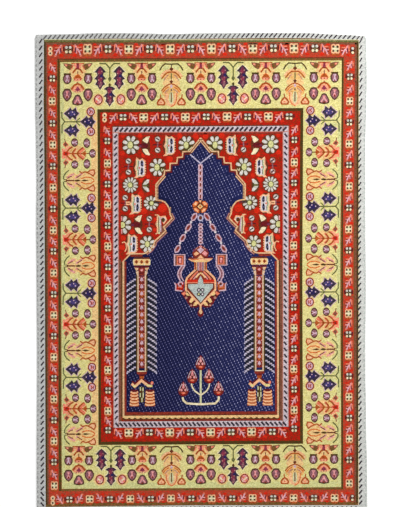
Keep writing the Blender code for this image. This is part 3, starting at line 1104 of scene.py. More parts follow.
def toothed_vase(pen):
    """A vase that bulges at one side and is toothed at the other."""
    pen.disc("brown", SHADE, -0.6, 0.4, 7, 10.6)
    pen.patch("peach", FORM, *VASE)
    pen.patch("white", MARK, *VASE_INSIDE)
    pen.stroke("sage", DETAIL, 1.2, (-3, -7.6), (-3, -2.2), (-3.8, 0.5), (-3, 3.2), (-3, 8.4))
    pen.stroke("green", DETAIL, 0.7, (-2, -7), (-2, -2.4), (-2.9, 0.5), (-2, 3.4), (-2, 7.6))
    pen.diamond("orange", TOP, -1.3, 0.4, 0.9, 1.5)
    pen.patch("ink", DETAIL, (0.2, -5.6), (1.2, -7.2), (2.7, -5.4), (2.8, -1.8), (1.6, -0.4), (0.3, -2))
    pen.patch("ink", DETAIL, (0.4, 1.6), (1.2, 0), (2.3, 1), (2.7, 4.4), (1.5, 7.8), (-0.1, 6.4))
    pen.disc("speck", TOP, 1.7, -3.4, 0.7, 0.9)
    pen.disc("speck", TOP, 1.3, 4, 0.6, 0.8)


def cut_vase(pen):
    """The vase whose toothed side the arch cuts off. x grows outward."""
    pen.stroke("peach", MARK, 1.1, (7, -9.6), (3.8, -9.6), (3, -8.6))
    pen.stroke("peach", MARK, 1.2, (4.5, -9), (4.5, -3.8), (5.9, -0.4), (4.5, 2.6), (4.5, 8.4), (6.3, 9.4))
    pen.patch(
        "sage", FORM, (2, -8.4), (4.2, -8.4), (4.2, -3.6), (5.2, -0.4), (4.2, 2.4), (4.2, 9), (2, 9.6),
    )
    pen.stroke("lilac", MARK, 1.3, (1.8, -6.8), (1.4, 0.2), (1.2, 7.2))
    pen.stroke("brown", MARK, 0.8, (3.2, -7.4), (3.4, -0.4), (3, 7.8))
    pen.patch("umber", FORM, (1.4, -1), (-1.2, 2.4), (-3, 5.8), (1.6, 10.6))
    pen.patch("peach", MARK, (2.2, -8.2), (-3.4, -8.8), (-5.2, -4.8), (-1.8, 0))
    pen.patch("white", DETAIL, (1, -7), (-2.8, -7.2), (-4, -4.8), (-1.6, -1.8))
    pen.disc("moss", TOP, -1.2, -4.6, 1.9, 2.2)


BRIGHT_SPOTS = (
    (4.8, 102.8, 3), (21, 102.4, 3), (60.5, 101.8, 2.4), (77.4, 101.8, 2.4), (31, 125.8, 3.6),
    (57, 121.2, 2.6), (77.8, 119.4, 2.6), (77.2, 143, 2.8), (52.2, 142.4, 2.2), (58.8, 146.4, 2.6),
    (59.6, 160.6, 3.2), (38, 174.8, 4.4), (56.4, 177.4, 3), (69, 181.4, 2.8), (68.4, 198.2, 2.6),
    (77.4, 204.4, 2.6), (78.4, 213.8, 2.8), (45.6, 186.2, 1.8), (45.8, 196, 1.8),
)


def spandrel_flowers():
    for half in Pen(0, 0).halves():
        for x, v, radius in BRIGHT_SPOTS:
            half.disc("scarlet", SHADE, x, v, radius, sides=8)
        daisy(half.moved(69.4, 111.3), 8.2, 9.3, eye=(0.7, 2.6, 3.5))
        daisy(half.moved(13.9, 111.8), 8, 9.2, eye=(0.5, 2.3, 3.4), left_out=(1, 2, 3))
        daisy(half.moved(42.9, 133.8), 7.8, 8.9, eye=(0.6, 2.4, 3.3), left_out=(3,))
        daisy(half.moved(70, 151.3), 7.5, 7.7, 12, eye=(0.3, 2.2, 2.5))
        daisy(half.moved(49.4, 169.6), 7.4, 7.2, 10, eye=(-0.5, 1.9, 2), left_out=(5,))
        daisy(half.moved(53.2, 210.5), 7.4, 8.3, eye=(0.2, 2.2, 2.8))
        half_daisy(half.moved(78.2, 191.2))
        half.stroke("sage", MARK, 0.9, (8.6, 113.6), (12.6, 117.2))
        half.stroke("sage", MARK, 0.8, (36.4, 135.6), (38.6, 137.6), (39, 135))
        for x, v in ((54.6, 112.2), (62.4, 191)):
            crescents(half.moved(x, v))
        for x, v in ((42.8, 111.1), (71.9, 132.9), (75.2, 169.4), (51.2, 190.5)):
            roundels(half.moved(x, v))
        butterfly(half.moved(54.5, 152))
        for x, v in ((30.5, 111.8), (59.9, 133.8), (64.3, 170), (68.2, 210)):
            toothed_vase(half.moved(x, v).mirrored())
        cut_vase(half.moved(38.6, 191))
        half.patch("peach", FORM, (70, 167.8), (74.6, 167.8), (74.6, 171.4), (70, 171.4))
        half.stroke("brown", MARK, 0.7, (70.6, 169.6), (73.4, 169.6))
        half.stroke("peach", FORM, 1, (78.6, 209), (76.4, 208.2), (74.6, 209.6), (74.2, 214.4), (75.8, 218))


# ---------------------------------------------------------------- niche: the hanging lamp

CHAIN_HEAD, CHAIN_FOOT, CHAIN_PITCH = 131.2, 166.4, 5.85
LOWER_CHAIN_HEAD, LOWER_CHAIN_FOOT, LOWER_CHAIN_PITCH = 190, 212.4, 3.5


def upper_chain(pen):
    """Two nearly straight bars, with a link's hollow between them at every step."""
    for x in (-1.8, 1.4):
        pen.stroke("lilac", FORM, 1.2, (x, CHAIN_HEAD), (x, CHAIN_FOOT))
    for i in range(round((CHAIN_FOOT - CHAIN_HEAD) / CHAIN_PITCH)):
        d = CHAIN_HEAD + i * CHAIN_PITCH
        pen.disc("pink", SHADE, -0.2, d + CHAIN_PITCH / 2, 2.4, 2.1)
        pen.stroke("brown", MARK, 1.4, (-0.2, d + 1.2), (-0.2, d + 4.4))
        pen.disc("lilac", FORM, -0.2, d, 1.4, 1, sides=6)


def lower_chain(pen):
    pen.ring("frost", FORM, 1.3, -0.1, 184.6, 2.4, 2.8, sides=8)
    pen.disc("brown", SHADE, -0.1, 184.6, 1.6, 2)
    count = round((LOWER_CHAIN_FOOT - LOWER_CHAIN_HEAD) / LOWER_CHAIN_PITCH)
    for i in range(count):
        d = LOWER_CHAIN_HEAD + (i + 0.5) * LOWER_CHAIN_PITCH
        pen.disc("mauve", SHADE, 0, d, 2.4, 1.9)
        pen.ring("lilac", FORM, 1, 0, d, 2, 1.5)
        pen.disc("brown", MARK, 0, d, 0.7, 0.6)


def knob(pen):
    """Four petals round a lozenge."""
    pen.disc("brown", SHADE, 0, 0, 7.9, 6.5)
    for half in pen.halves():
        half.patch("orange", FORM, (7.8, -2.6), (4.6, -5.8), (1.4, -4.6), (3.4, -1), (7, 0.4))
        half.patch("peach", MARK, (7, -2.4), (4.6, -4.8), (2.6, -4), (4.2, -1.4))
        half.patch("orange", FORM, (7, 1), (3.6, 0.8), (0.8, 3.4), (1.6, 6.4), (5.4, 4.6))
        half.patch("peach", MARK, (6.2, 1.8), (3.6, 2), (1.8, 3.8), (2.2, 5.4), (4.8, 4))
    pen.diamond("amber", DETAIL, 0, -0.2, 2.8, 2.6)
    pen.diamond("orange", TOP, 0, -0.2, 1.3, 1.2)
    pen.patch("peach", FORM, (-1.6, -6.4), (1.6, -6.4), (0, -3.6))


LINK_LONG, LINK_WIDE = 5, 2.5
LINK_LEAN = (0.54, 0.84)  # how a link lies: outward and down
LINK = ((1, 0), (0.5, -1), (-0.5, -1), (-1, 0), (-0.5, 1), (0.5, 1))
LINKS = ((6.4, 183.6), (12.2, 194.2), (18, 204.6), (23.1, 215.4))
LINK_KNOTS = ((9.6, 188.8), (14.8, 198.8), (20.6, 209.6))


def side_chain(half):
    for x, d in LINKS:
        for yarn, layer, less_long, less_wide in (
            ("lilac", FORM, 0, 0), ("mauve", MARK, 1.4, 1.1), ("brick", DETAIL, 2.2, 1.6),
        ):
            size = LINK_LONG - less_long, LINK_WIDE - less_wide
            half.patch(yarn, layer, *leaning(LINK, (x, d), size, LINK_LEAN))
    for x, d in LINK_KNOTS:
        half.disc("white", SHADE, x, d, 1.2, 1.4)


def lotus(pen):
    """A flower of folded petals, parted by dark red lines that cross."""
    pen.nested(((0, -6.6), (4.5, -3.8), (7.8, 0.6), (7, 4.2), (3.2, 6.8)), (("brick", SHADE, 1.06),))
    pen.even_patch("lilac", FORM, (0, -4.6), (3.6, -2.2), (0, 1.4))
    pen.disc("pink", MARK, 0, -5.4, 1.6, 1)
    pen.patch("peach", FORM, (-1.2, 1.6), (-4.2, -0.6), (-6.8, 1.8), (-5.2, 4))
    pen.patch("pink", FORM, (1.2, 1.6), (4.2, -1.2), (7.2, 1.4), (5.2, 4.2))
    pen.even_patch("peach", FORM, (0, 2.8), (3.4, 6.4))
    for half in pen.halves():
        half.disc("plum", FORM, 6.2, -2, 1.3)
        half.stroke("clay", FORM, 1, (2.6, -5), (5, -2.6))
        half.stroke("brick", MARK, 0.9, (0, 1.6), (3, 4.4), (5, 6.4))


def small_box(pen):
    """A square frame in a square frame. x grows outward."""
    pen.even_patch("lilac", FORM, (5.8, -5.8), (5.8, 5.8))
    pen.even_patch("umber", MARK, (4.4, -5), (4.4, 5))
    pen.patch("salmon", DETAIL, (-3.6, -4), (2.8, -4), (2.8, 4.6), (-3.6, 4.6))
    pen.patch("brick", TOP, (-2.6, -3), (1.8, -3), (1.8, 3.6), (-2.6, 3.6))
    pen.patch("pink", CROWN, (-1.6, -2), (0.8, -2), (0.8, 3), (-1.6, 3))


def lamp_rim(pen):
    pen.stroke("maroon", SHADE, 1.3, (-11.8, 224.7), (12.2, 224.7))
    pen.patch("peach", FORM, (-12.8, 225.6), (12.4, 225.2), (8.6, 228.2), (-8.8, 228.2))
    pen.stroke("orange", MARK, 0.8, (-9.6, 226), (-2, 226.2))
    pen.even_patch("amber", MARK, (8.4, 227), (7, 228.8))


HALF_NECK = "orange brown peach brown lilac brown pink".split()
NECK_STRIPES = (*HALF_NECK, "brick", *reversed(HALF_NECK))


def lamp_neck(pen):
    left, right, head, foot = -6.2, 6.2, 228.6, 237.4
    step = (right - left) / len(NECK_STRIPES)
    for i, yarn in enumerate(NECK_STRIPES):
        x = left + i * step
        pen.patch(yarn, FORM, (x, head), (x + step, head), (x + step, foot), (x, foot))


SHOULDER = ((5.2, 236.6), (9.4, 240.2), (13.6, 244.6), (14.8, 248.4), (14.8, 256.6), (0, 271.8))
PANEL = (
    (12.8, 250.8), (12.8, 254.4), (0.1, 270), (-12.8, 254.4), (-12.8, 250.8), (-2.9, 250.8),
    (-2.2, 246.8), (0, 242.4), (2.2, 246.8), (2.9, 250.8),
)


def lamp_body(pen):
    left = [(-x, v) for x, v in SHOULDER]
    pen.patch("brick", SHADE, *SHOULDER, *reversed(left[:-1]))
    for half in pen.halves():
        half.stroke("peach", MARK, 1.9, *SHOULDER)
        half.stroke("brown", FORM, 1, (3.6, 237), (8.2, 241.2), (12, 245.6))
        half.stroke("salmon", FORM, 1.6, (2.8, 238), (7.2, 242.4), (10.4, 246.2))
        half.stroke("brown", FORM, 0.9, (1.6, 238.2), (5.6, 242.6), (8.4, 246.2))
        half.stroke("pink", FORM, 1.2, (1.6, 239.8), (4.8, 243.2), (7.2, 246))
        half.stroke("amber", MARK, 1.3, (0, 239.4), (2.6, 241.8), (4.6, 244.4))
        half.patch("scarlet", MARK, (3.2, 246.4), (13.6, 246.4), (13.8, 248.4), (2.8, 248.4))
        half.stroke("salmon", MARK, 1.1, (2.8, 249.3), (13.8, 249.3))
        half.stroke("brown", MARK, 0.9, (2.6, 250.3), (13.6, 250.3))
    pen.patch("mist", DETAIL, *PANEL)
    pen.stroke("brown", DETAIL, 1, *PANEL[:5])
    for x in (-1.9, 1.9):
        for v in (256.6, 260.9):
            pen.disc("slate", TOP, x, v, 2, sides=10)
    for v, left_yarn in ((256.6, "white"), (260.9, "lime")):
        pen.disc(left_yarn, CROWN, -1.9, v, 1)
        pen.disc("white", CROWN, 1.9, v, 1)


def lamp_flames(half):
    """Lobes with dark gaps between them, under the lamp's slanting sides."""
    base = (
        (14.6, 256.8), (20, 258.4), (17.6, 262.6), (14.8, 266.4), (12.6, 270.8), (9.6, 274), (5, 274.4),
        (0, 272.6),
    )
    half.patch("maroon", SHADE, *base)
    half.patch("salmon", FORM, (15.4, 257.8), (19.4, 260.2), (16.6, 262.2), (14.8, 260.2))
    for lobe in (
        ((13.6, 257.6), (15, 260.6), (12.8, 263.2), (10.4, 261.8)),
        ((8.6, 263.8), (10.2, 265.4), (11.6, 268.4), (9.4, 269.8), (6.6, 266.8)),
        ((4.6, 268), (6.4, 269.4), (7.6, 272.6), (4.2, 272.2), (2.6, 270)),
    ):
        half.patch("amber", MARK, *lobe)
    half.disc("clay", FORM, 14.4, 264.4, 1.3)
    half.disc("clay", FORM, 9.6, 272, 1.3, 1)
    half.stroke("moss", DETAIL, 0.9, (14.6, 262.8), (11.8, 262.6))
    half.stroke("moss", DETAIL, 0.9, (9.4, 270.6), (7.2, 269.2))


def lamp_strand(half):
    """A doubled strand from a box to a hook."""
    for shift in (-1.6, 1.6):
        path = ((17.4, 232.4), (20.6, 237.4), (21.4, 240.8), (20.8, 243.6), (18.6, 247.6))
        half.stroke("lilac", FORM, 1.2, *[(x + shift, d) for x, d in path])
    half.stroke("mauve", SHADE, 2.2, (17.6, 232.6), (21.4, 239.6), (20.2, 245))


def lamp_hook(half, fill):
    half.patch(fill, SHADE, (16.4, 248.6), (24.8, 250.4), (24.6, 256.8), (17.2, 257.2))
    half.stroke("lilac", FORM, 1.2, (26.2, 249.4), (24.9, 251.2), (25, 256.9), (18.4, 257.6))
    half.stroke(
        "lilac", MARK, 1.2, (17.8, 251), (18.6, 248.6), (21.2, 248.6), (22.4, 250.6), (21.6, 252.4),
        (19.2, 252.8),
    )
    half.disc("slate", DETAIL, 20.2, 251, 0.9, 1.2)
    half.stroke("salmon", FORM, 1, (18.4, 254), (22.8, 253.8))


FINIAL = ((0, 270.4), (1.2, 272.6), (1.5, 276), (2.8, 279), (2.6, 281.4), (0, 283.4))


def lamp():
    pen = Pen(0, 0)
    pen.stroke("frost", FORM, 1.3, (-10.5, 121), (-0.1, 130.2), (12, 120.3))
    upper_chain(pen)
    lower_chain(pen)
    knob(Pen(-0.4, 173.4))
    lotus(Pen(0, 218.7))
    lamp_rim(pen)
    lamp_neck(pen)
    lamp_body(pen)
    for half, fill in zip(pen.halves(), ("rust", "red")):
        side_chain(half)
        small_box(half.moved(21, 226.6))
        lamp_flames(half)
        lamp_strand(half)
        lamp_hook(half, fill)
    pen.nested(FINIAL, (("maroon", SHADE, 1.1),))
    pen.nested(FINIAL, (("buff", DETAIL, 0.62),))
    pen.stem("peach", MARK, 1.7, 271, 277)


# ---------------------------------------------------------------- niche: columns and plant

COLUMN_MIDDLES = (-59, 58.8)
SHAFT_HEAD, SHAFT_FOOT, SHAFT_HALF = 234, 337.6, 3.7
FROND_PITCH, FIRST_FROND, FRONDS = 5.85, 248.8, 16
LILY_PITCH, FIRST_LILY, LILIES = 7.05, 246.2, 13
# Each stitch of a frond: how far from the shaft it starts, how far down, and its length
FROND_STITCHES = ((5.9, -2.9, 2.3), (7.9, -1.5, 2.5), (10, 0, 2.7), (12.2, 1.5, 2.5), (13.9, 2.9, 1.4))


def frond(half, d):
    """One frond that droops outward from a shaft in steps. x grows away from the shaft."""
    for x, drop, long in FROND_STITCHES:
        half.stroke("frost", FORM, 1.5, (x, d + drop), (x + long, d + drop))
    half.stroke("rose", MARK, 1, (8.4, d - 1.6), (9.6, d - 1.6))
    half.stroke("rose", MARK, 1, (10.6, d - 0.1), (12.6, d - 0.1))


def capital(pen):
    pen.bar("brown", SHADE, 1.6, 7.6, 224.6)
    pen.even_patch("amber", FORM, (8.4, 225.4), (8.8, 228.4), (8, 231.6))
    for half in pen.halves():
        half.stroke("ivory", MARK, 1, (-8.4, 226.4), (-8, 230.6))
    for x in (-5.3, 0, 5.3):
        pen.diamond("rust", MARK, x, 228.2, 1.9, 2.2)
        pen.diamond("brown", DETAIL, x, 228.4, 0.9, 1.1)
        pen.disc("ivory", DETAIL, x + 2.6, 230.4, 1, 0.8)
    pen.bar("maroon", FORM, 1.5, 7.4, 233)
    for half in pen.halves():
        half.patch("buff", FORM, (7.4, 234), (3.4, 234.2), (3.8, 236.4), (5.4, 237.4))
        half.patch("tan", FORM, (6, 238), (3.2, 237.2), (3, 243), (4.8, 241.6))
    pen.even_patch("brick", FORM, (3.4, 234), (3, 242))
    pen.disc("pink", MARK, 0, 236.4, 1.5, 1.3)
    pen.bar("maroon", MARK, 1.6, 2, 239.4)


def lily(pen, ground):
    """A small pale flower on a red ground, in a shaft."""
    pen.even_patch(ground, SHADE, (3, -3.5), (3, 3.6))
    pen.even_patch("lilac", FORM, (0, -3), (1.2, -1.4), (1.8, 1.2), (0.6, 0.6), (0, 2.2))
    for half in pen.halves():
        half.disc("maroon", FORM, 1.9, 2.6, 0.8)
        half.disc("pink", FORM, 2.2, -2.4, 0.6)


def column_foot(pen):
    pen.bar("ivory", FORM, 1, 4.4, SHAFT_FOOT)
    pen.even_patch("brick", FORM, (5.2, 338.2), (4.6, 340.6))
    pen.even_patch("maroon", FORM, (3.2, 340.6), (2.8, 342.6))
    pen.even_patch("rust", FORM, (2.4, 342.6), (2, 345))
    pen.stroke("maroon", SHADE, 1.6, (-10, 347.6), (-6.6, 350.2), (-0.4, 344), (6.6, 349.4), (9, 349.4))
    pen.stroke("peach", FORM, 2.5, (-10.2, 350), (-7, 353), (-0.3, 346.8), (6.6, 352.4), (10.4, 352.2))
    for x, d in ((-7.4, 352.4), (6.2, 351.8), (9.2, 352.4)):
        pen.disc("yellow", MARK, x, d, 1.8, 1.1)
    pen.disc("salmon", MARK, 10.3, 349.4, 1.5, 1.8)
    pen.disc("pink", DETAIL, 10.2, 350.2, 0.8)
    for middle, start in ((-7.5, 3.7), (8.2, 4.1)):
        foot = pen.moved(middle, 0)
        foot.even_patch("maroon", SHADE, (start, 356), (start + 0.6, 360))
        foot.even_patch("rust", SHADE, (start, 358.6), (start + 1, 372.6))
        for i in range(5):
            d = 358.4 + 3.05 * i
            wide = start + 0.22 * i
            foot.stroke(
                "peach", FORM, 1.6, (-wide, d - 0.4), (-wide * 0.5, d + 0.9), (wide * 0.5, d + 0.9),
                (wide, d - 0.4),
            )
    for x, head, foot_d in (
        (-1.4, 353.4, 357), (1.2, 354, 357.6), (-1.6, 359.4, 363.4), (1.4, 358.8, 364),
        (0.2, 364, 368.6),
    ):
        pen.stroke("sage", FORM, 1.1, (x, head), (x, foot_d))
    pen.stem("moss", SHADE, 4.6, 353, 368.6)


def column(pen):
    grounds = ("brick", "brick", "rust")
    for i in range(LILIES):
        lily(pen.moved(0, FIRST_LILY + LILY_PITCH * i), grounds[i % len(grounds)])
    for half in pen.halves():
        half.stroke("tan", MARK, 1.4, (SHAFT_HALF, SHAFT_HEAD + 8), (SHAFT_HALF, SHAFT_FOOT))
        beyond = SHAFT_HALF + 1.4
        half.stroke("moss", SHADE, 1.4, (beyond, SHAFT_HEAD + 8), (beyond, SHAFT_FOOT))
        half.patch("ink", FIELD, (5.6, 246.4), (14.6, 251), (14.6, 340), (5.6, 336))
        for i in range(FRONDS):
            frond(half, FIRST_FROND + FROND_PITCH * i)
    capital(pen)
    column_foot(pen)


BUD = ((0, -7.6), (2.4, -5), (4.6, -0.6), (5.4, 2.6), (4.4, 5.6), (2, 7.4), (0, 7.8))


def tulip_bud(pen):
    pen.nested(BUD, (("maroon", FORM, 1),))
    pen.even_patch("pink", MARK, (0, -6.6), (0.9, -3.8), (1.2, -0.8), (0, 0.4))
    for half in pen.halves():
        half.patch("brick", MARK, (1.4, 1.4), (4.2, 1.6), (3.8, 4.8), (1.6, 6))
        half.stroke("rose", DETAIL, 0.7, (1.3, -5), (3.1, -1.6), (4.2, 2.2))
        half.disc("pink", DETAIL, 1.9, 1.2, 1.1, 1.4)
    pen.disc("brown", DETAIL, 0.1, 0.8, 0.7, 1.2)
    pen.disc("salmon", DETAIL, 0, 4.3, 2.1, 1.1)
    pen.disc("red", DETAIL, 0, 6, 1.8, 0.8)


TULIPS = ((0.1, 329.4), (-8.4, 342.7), (8.3, 342.7), (-17.4, 355.4), (17.8, 355))


def tulip_plant():
    pen = Pen(0.1, 0)
    pen.stem("sage", FORM, 1.9, 336.4, 371.2)
    pen.stroke(
        "ivory", MARK, 1.4, (-9.4, 350.3), (-8.4, 353.8), (-6.2, 357.4), (0, 362), (6, 357.6),
        (8.2, 353.8), (8.8, 350.3),
    )
    base = ((-18.2, 363.8), (-17.4, 367), (-14, 370), (0, 371), (14.6, 370.2), (17.9, 366.6), (18.2, 363.2))
    pen.stroke("ivory", MARK, 2, *base)
    for u, v in TULIPS:
        tulip_bud(placed(u, v))


# ---------------------------------------------------------------- niche: satin ground of the field

# The specks stand in a slanting grid: the step to the next in a row, and to the next row
SPECK_STEP, ROW_STEP = (2.9, -1.22), (1.18, 2.35)
SPECK_REACH = 200  # steps to each side of the field's middle, more than the field holds
FIELD_MIDDLE = 240
SPECK_AREA = Box(-78, 100, 78, 378)
SPECK = ((-0.5, -0.45), (-0.25, 0.75), (0.5, 0.45), (0.25, -0.75))
# The fronds' ground, at both sides, has none
FROND_MIDDLE, FROND_HALF, FROND_HEAD, FROND_FOOT = 59, 14.6, 247, 339
GLINT_FROM, GLINT_SPAN = 30, 110  # painted glints: towards the right more of the points are drawn in a lighter yarn


def inside(point, outline):
    """Whether a point lies within a closed outline."""
    u, v = point
    crossings = 0
    for (u0, v0), (u1, v1) in zip(outline, outline[1:] + outline[:1]):
        if (v0 > v) != (v1 > v) and u < u0 + (u1 - u0) * (v - v0) / (v1 - v0):
            crossings += 1
    return crossings % 2 == 1


def holds_speck(u, v):
    behind_fronds = abs(abs(u) - FROND_MIDDLE) < FROND_HALF and FROND_HEAD < v < FROND_FOOT
    in_area = SPECK_AREA.left < u < SPECK_AREA.right and SPECK_AREA.head < v < SPECK_AREA.foot
    return in_area and not behind_fronds


def satin_specks():
    """Pale points on the blue field, where the warp shows in slanting rows. Towards the right more of them
    are painted glints, in a lighter yarn.
    """
    outline = arch_outline()
    for i in range(-SPECK_REACH, SPECK_REACH):
        for j in range(-SPECK_REACH, SPECK_REACH):
            u = i * SPECK_STEP[0] + j * ROW_STEP[0]
            v = FIELD_MIDDLE + i * SPECK_STEP[1] + j * ROW_STEP[1]
            if holds_speck(u, v) and inside((u, v), outline):
                # the lighter points towards the right are painted glints
                yarn = "glint" if random.random() < (u + GLINT_FROM) / GLINT_SPAN else "speck"
                Pen(u, v).patch(yarn, FIELD, *SPECK)


# ---------------------------------------------------------------- laying the chart on the cloth

RIM_NEAR = 9.6 * MM  # a rim point this close to a side of the box belongs to that side


def rim_of(node):
    """The sides of the CAD cloth, each as two rows of numbers: along it, and where it runs."""
    low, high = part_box(node)
    points = np.array([vertex.co[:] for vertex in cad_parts[node].data.vertices])
    middle = (low.z + high.z) / 2
    rim = points[np.abs(points[:, 2] - middle) < (high.z - low.z) / 4]
    sides = {}
    for name, across, edge in (
        ("left", 0, low.x), ("right", 0, high.x), ("head", 1, high.y), ("foot", 1, low.y),
    ):
        near = rim[np.abs(rim[:, across] - edge) < RIM_NEAR]
        order = np.argsort(near[:, 1 - across])
        sides[name] = near[order, 1 - across], near[order, across]
    return sides


CLOTH_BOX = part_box("rug")
SIDES = rim_of("rug")

# The straight part of the weave, inside the outer guards
WEAVE_LEFT, WEAVE_HEAD, WEAVE_RIGHT, WEAVE_FOOT = -156.0, 28.0, 156.0, 455.0
LEFT_BULGE = 3.6 * MM  # the cloth's left side bows this far beyond its straight line
HEAD_BULGE = 1.7 * MM
TILT = 0.006  # the weft rises a little to the right

# The warp spreads towards both ends: how far, in points, it strays outward at each depth
LEFT_SPREAD = (
    (0, 42, 67, 119, 189, 224, 260, 400, 455),
    (0.9, 0.9, 1.2, 0.5, 0.2, -0.3, -0.4, -0.6, -0.9),
)
RIGHT_SPREAD = (
    (0, 42, 67, 119, 154, 189, 224, 260, 330, 364, 455),
    (1.1, 1.1, 0.9, 0.3, 0.1, -0.3, -0.5, -0.5, -0.2, 0.2, 0.5),
)


def lay(u, v):
    """Where chart points lie on the cloth, in metres.

    The weave inside the guards keeps its shape. The strip outside it reaches to the cloth's real sides.
    """
    low, high = CLOTH_BOX
    inner_u, inner_v = np.clip(u, WEAVE_LEFT, WEAVE_RIGHT), np.clip(v, WEAVE_HEAD, WEAVE_FOOT)
    spread = np.where(inner_u < 0, np.interp(v, *LEFT_SPREAD), np.interp(v, *RIGHT_SPREAD))
    x = low.x + LEFT_BULGE + (inner_u * (1 + spread / WEAVE_RIGHT) - LEFT_EDGE) * POINT
    y = high.y - HEAD_BULGE - (inner_v - inner_u * TILT) * POINT
    plain_x = low.x + LEFT_BULGE + (u - LEFT_EDGE) * POINT
    plain_y = high.y - HEAD_BULGE - v * POINT
    strips = (
        ("left", x, plain_y, (WEAVE_LEFT - u) / (WEAVE_LEFT - LEFT_EDGE)),
        ("right", x, plain_y, (u - WEAVE_RIGHT) / (RIGHT_EDGE - WEAVE_RIGHT)),
        ("head", y, plain_x, (WEAVE_HEAD - v) / WEAVE_HEAD),
        ("foot", y, plain_x, (v - WEAVE_FOOT) / (FOOT_EDGE - WEAVE_FOOT)),
    )
    for side, inner, along, share in strips:
        share = np.clip(share, 0, 1)
        moved = inner + (np.interp(along, *SIDES[side]) - inner) * share
        if side in ("left", "right"):
            x = np.where(share > 0, moved, x)
        else:
            y = np.where(share > 0, moved, y)
    return x, y


def lay_mesh(mesh):
    points = np.empty(len(mesh.vertices) * 3)
    mesh.vertices.foreach_get("co", points)
    points = points.reshape(-1, 3)
    points[:, 0], points[:, 1] = lay(points[:, 0], -points[:, 1])
    mesh.vertices.foreach_set("co", points.ravel())
    mesh.update()


def thicken(sheet, bottom):
    """Gives a flat sheet a rim and an underside, which lies at a height of its own."""
    flat = list(sheet.verts)
    bmesh.ops.extrude_face_region(sheet, geom=list(sheet.faces), use_keep_orig=True)
    for vertex in flat:
        vertex.co.z = bottom
    bmesh.ops.recalc_face_normals(sheet, faces=list(sheet.faces))


def mesh_from(sheet, name):
    mesh = bpy.data.meshes.new(name)
    sheet.to_mesh(mesh)
    sheet.free()
    return mesh


def add_piece(name, mesh, material):
    piece = bpy.data.objects.new(name, mesh)
    mesh.materials.append(material)
    bpy.context.scene.collection.objects.link(piece)
    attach(piece, "root")
    return piece


def yarn_piece(name, yarn):
    """Turns the flat drawing of one yarn into a thin solid on the cloth."""
    sheet = sheets[name]
    sheet.normal_update()
    for face in sheet.faces:
        if face.normal.z < 0:
            face.normal_flip()
    thicken(sheet, YARN_FOOT)
    mesh = mesh_from(sheet, name + "_yarn")
    lay_mesh(mesh)
    return add_piece("yarn_" + name, mesh, yarn_material(name, yarn))


GROUND_COLUMNS, GROUND_ROWS = 84, 120
EDGE_ROUNDING = 0.8 * MM
STEEP = math.radians(60)  # an edge between faces that meet at more than this is a rim


def ground_cloth():
    """The cloth itself, from edge to edge, with its upper face at the ground weave."""
    sheet = bmesh.new()
    bmesh.ops.create_grid(sheet, x_segments=GROUND_COLUMNS, y_segments=GROUND_ROWS, size=0.5)
    for vertex in sheet.verts:
        share_u, share_v = vertex.co.x + 0.5, 0.5 - vertex.co.y
        vertex.co = (LEFT_EDGE + share_u * (RIGHT_EDGE - LEFT_EDGE), -share_v * FOOT_EDGE, GROUND_TOP)
    mesh = mesh_from(sheet, "ground_cloth")
    lay_mesh(mesh)
    sheet = bmesh.new()
    sheet.from_mesh(mesh)
    thicken(sheet, 0.0)
    rims = [edge for edge in sheet.edges if edge.calc_face_angle(0) > STEEP]
    level = [edge for edge in rims if abs(edge.verts[0].co.z - edge.verts[1].co.z) < GROUND_TOP / 2]
    bmesh.ops.bevel(
        sheet, geom=level, offset=EDGE_ROUNDING, segments=2, profile=0.5, affect="EDGES", material=-1,
    )
    sheet.to_mesh(mesh)
    sheet.free()
    # The undyed wool: a greyer yarn and painted shade at the left, lighter towards the right
    undyed = shade_gradient_material("undyed_shaded_wool", GREY_SHADED_SIDE, WHITE_LIT_SIDE, *UNDYED_SHADE_SPAN)
    return add_piece("rug_cloth", mesh, undyed)


# ---------------------------------------------------------------- floor, light and camera

FLOOR_SIZE = 12.0  # metres
FLOOR_TONE = (250, 250, 250)
ROOM_LIGHT = 0.90
SOFTBOX_SIZE, SOFTBOX_PLACE, SOFTBOX_POWER = 1.0, (1.1, 0.9, 1.2), 23.0
PICTURE_MIDDLE = (-0.6, 220.2)  # the chart point in the middle of the photograph
PICTURE_POINTS = 507.0  # the photograph's height, in chart points
SENSOR, LENS = 36.0, 85.0  # millimetres


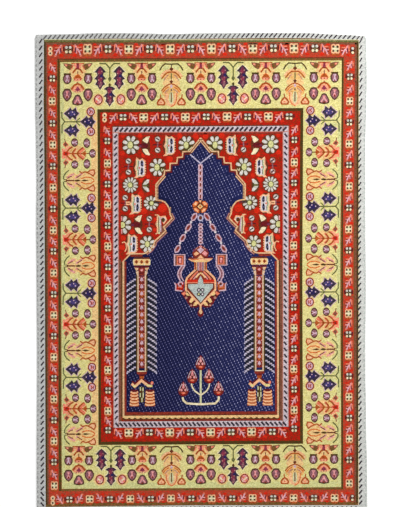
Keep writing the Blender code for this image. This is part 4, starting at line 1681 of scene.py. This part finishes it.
def add_floor():
    sheet = bmesh.new()
    bmesh.ops.create_grid(sheet, x_segments=1, y_segments=1, size=FLOOR_SIZE / 2)
    mesh = mesh_from(sheet, "floor")
    material = new_material("pale_floor")
    shader = material.node_tree.nodes["Principled BSDF"]
    shader.inputs["Base Color"].default_value = tint(*FLOOR_TONE)
    shader.inputs["Roughness"].default_value = 1.0
    shader.inputs["Specular IOR Level"].default_value = 0.0
    mesh.materials.append(material)
    floor = bpy.data.objects.new("floor", mesh)
    bpy.context.scene.collection.objects.link(floor)


def add_softbox():
    """A square light at the head's right, turned towards the rug."""
    data = bpy.data.lights.new("softbox", "AREA")
    data.shape = "SQUARE"
    data.size = SOFTBOX_SIZE
    data.energy = SOFTBOX_POWER
    softbox = bpy.data.objects.new("softbox", data)
    softbox.location = SOFTBOX_PLACE
    softbox.rotation_euler = (-Vector(SOFTBOX_PLACE)).to_track_quat("-Z", "Y").to_euler()
    bpy.context.scene.collection.objects.link(softbox)


def add_studio():
    world = bpy.data.worlds.new("studio")
    bpy.context.scene.world = world
    world.use_nodes = True
    background = world.node_tree.nodes["Background"]
    background.inputs["Color"].default_value = (1.0, 1.0, 1.0, 1.0)
    background.inputs["Strength"].default_value = ROOM_LIGHT
    add_softbox()
    bpy.context.scene.view_settings.view_transform = "Standard"


def add_camera():
    middle_x, middle_y = lay(np.array(PICTURE_MIDDLE[0]), np.array(PICTURE_MIDDLE[1]))
    data = bpy.data.cameras.new("camera")
    data.lens = LENS
    data.sensor_width = SENSOR
    distance = PICTURE_POINTS * POINT * LENS / SENSOR
    camera = bpy.data.objects.new("camera", data)
    camera.location = (float(middle_x), float(middle_y), GROUND_TOP + distance)
    bpy.context.scene.collection.objects.link(camera)
    bpy.context.scene.camera = camera


# ---------------------------------------------------------------- everything in its place

def draw_chart():
    plain_bands()
    guard_dashes()
    guard_lines()
    selvedge_stitches()
    outer_guard_florets()
    inner_guard_florets()
    dye_changes()
    main_border()
    spandrels()
    spandrel_flowers()
    lamp()
    for u in COLUMN_MIDDLES:
        column(Pen(u, 0))
    tulip_plant()
    satin_specks()


draw_chart()
yarns = [yarn_piece(name, yarn) for name, yarn in YARNS.items()]
cloth = ground_cloth()
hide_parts("rug")
add_floor()
add_studio()
add_camera()
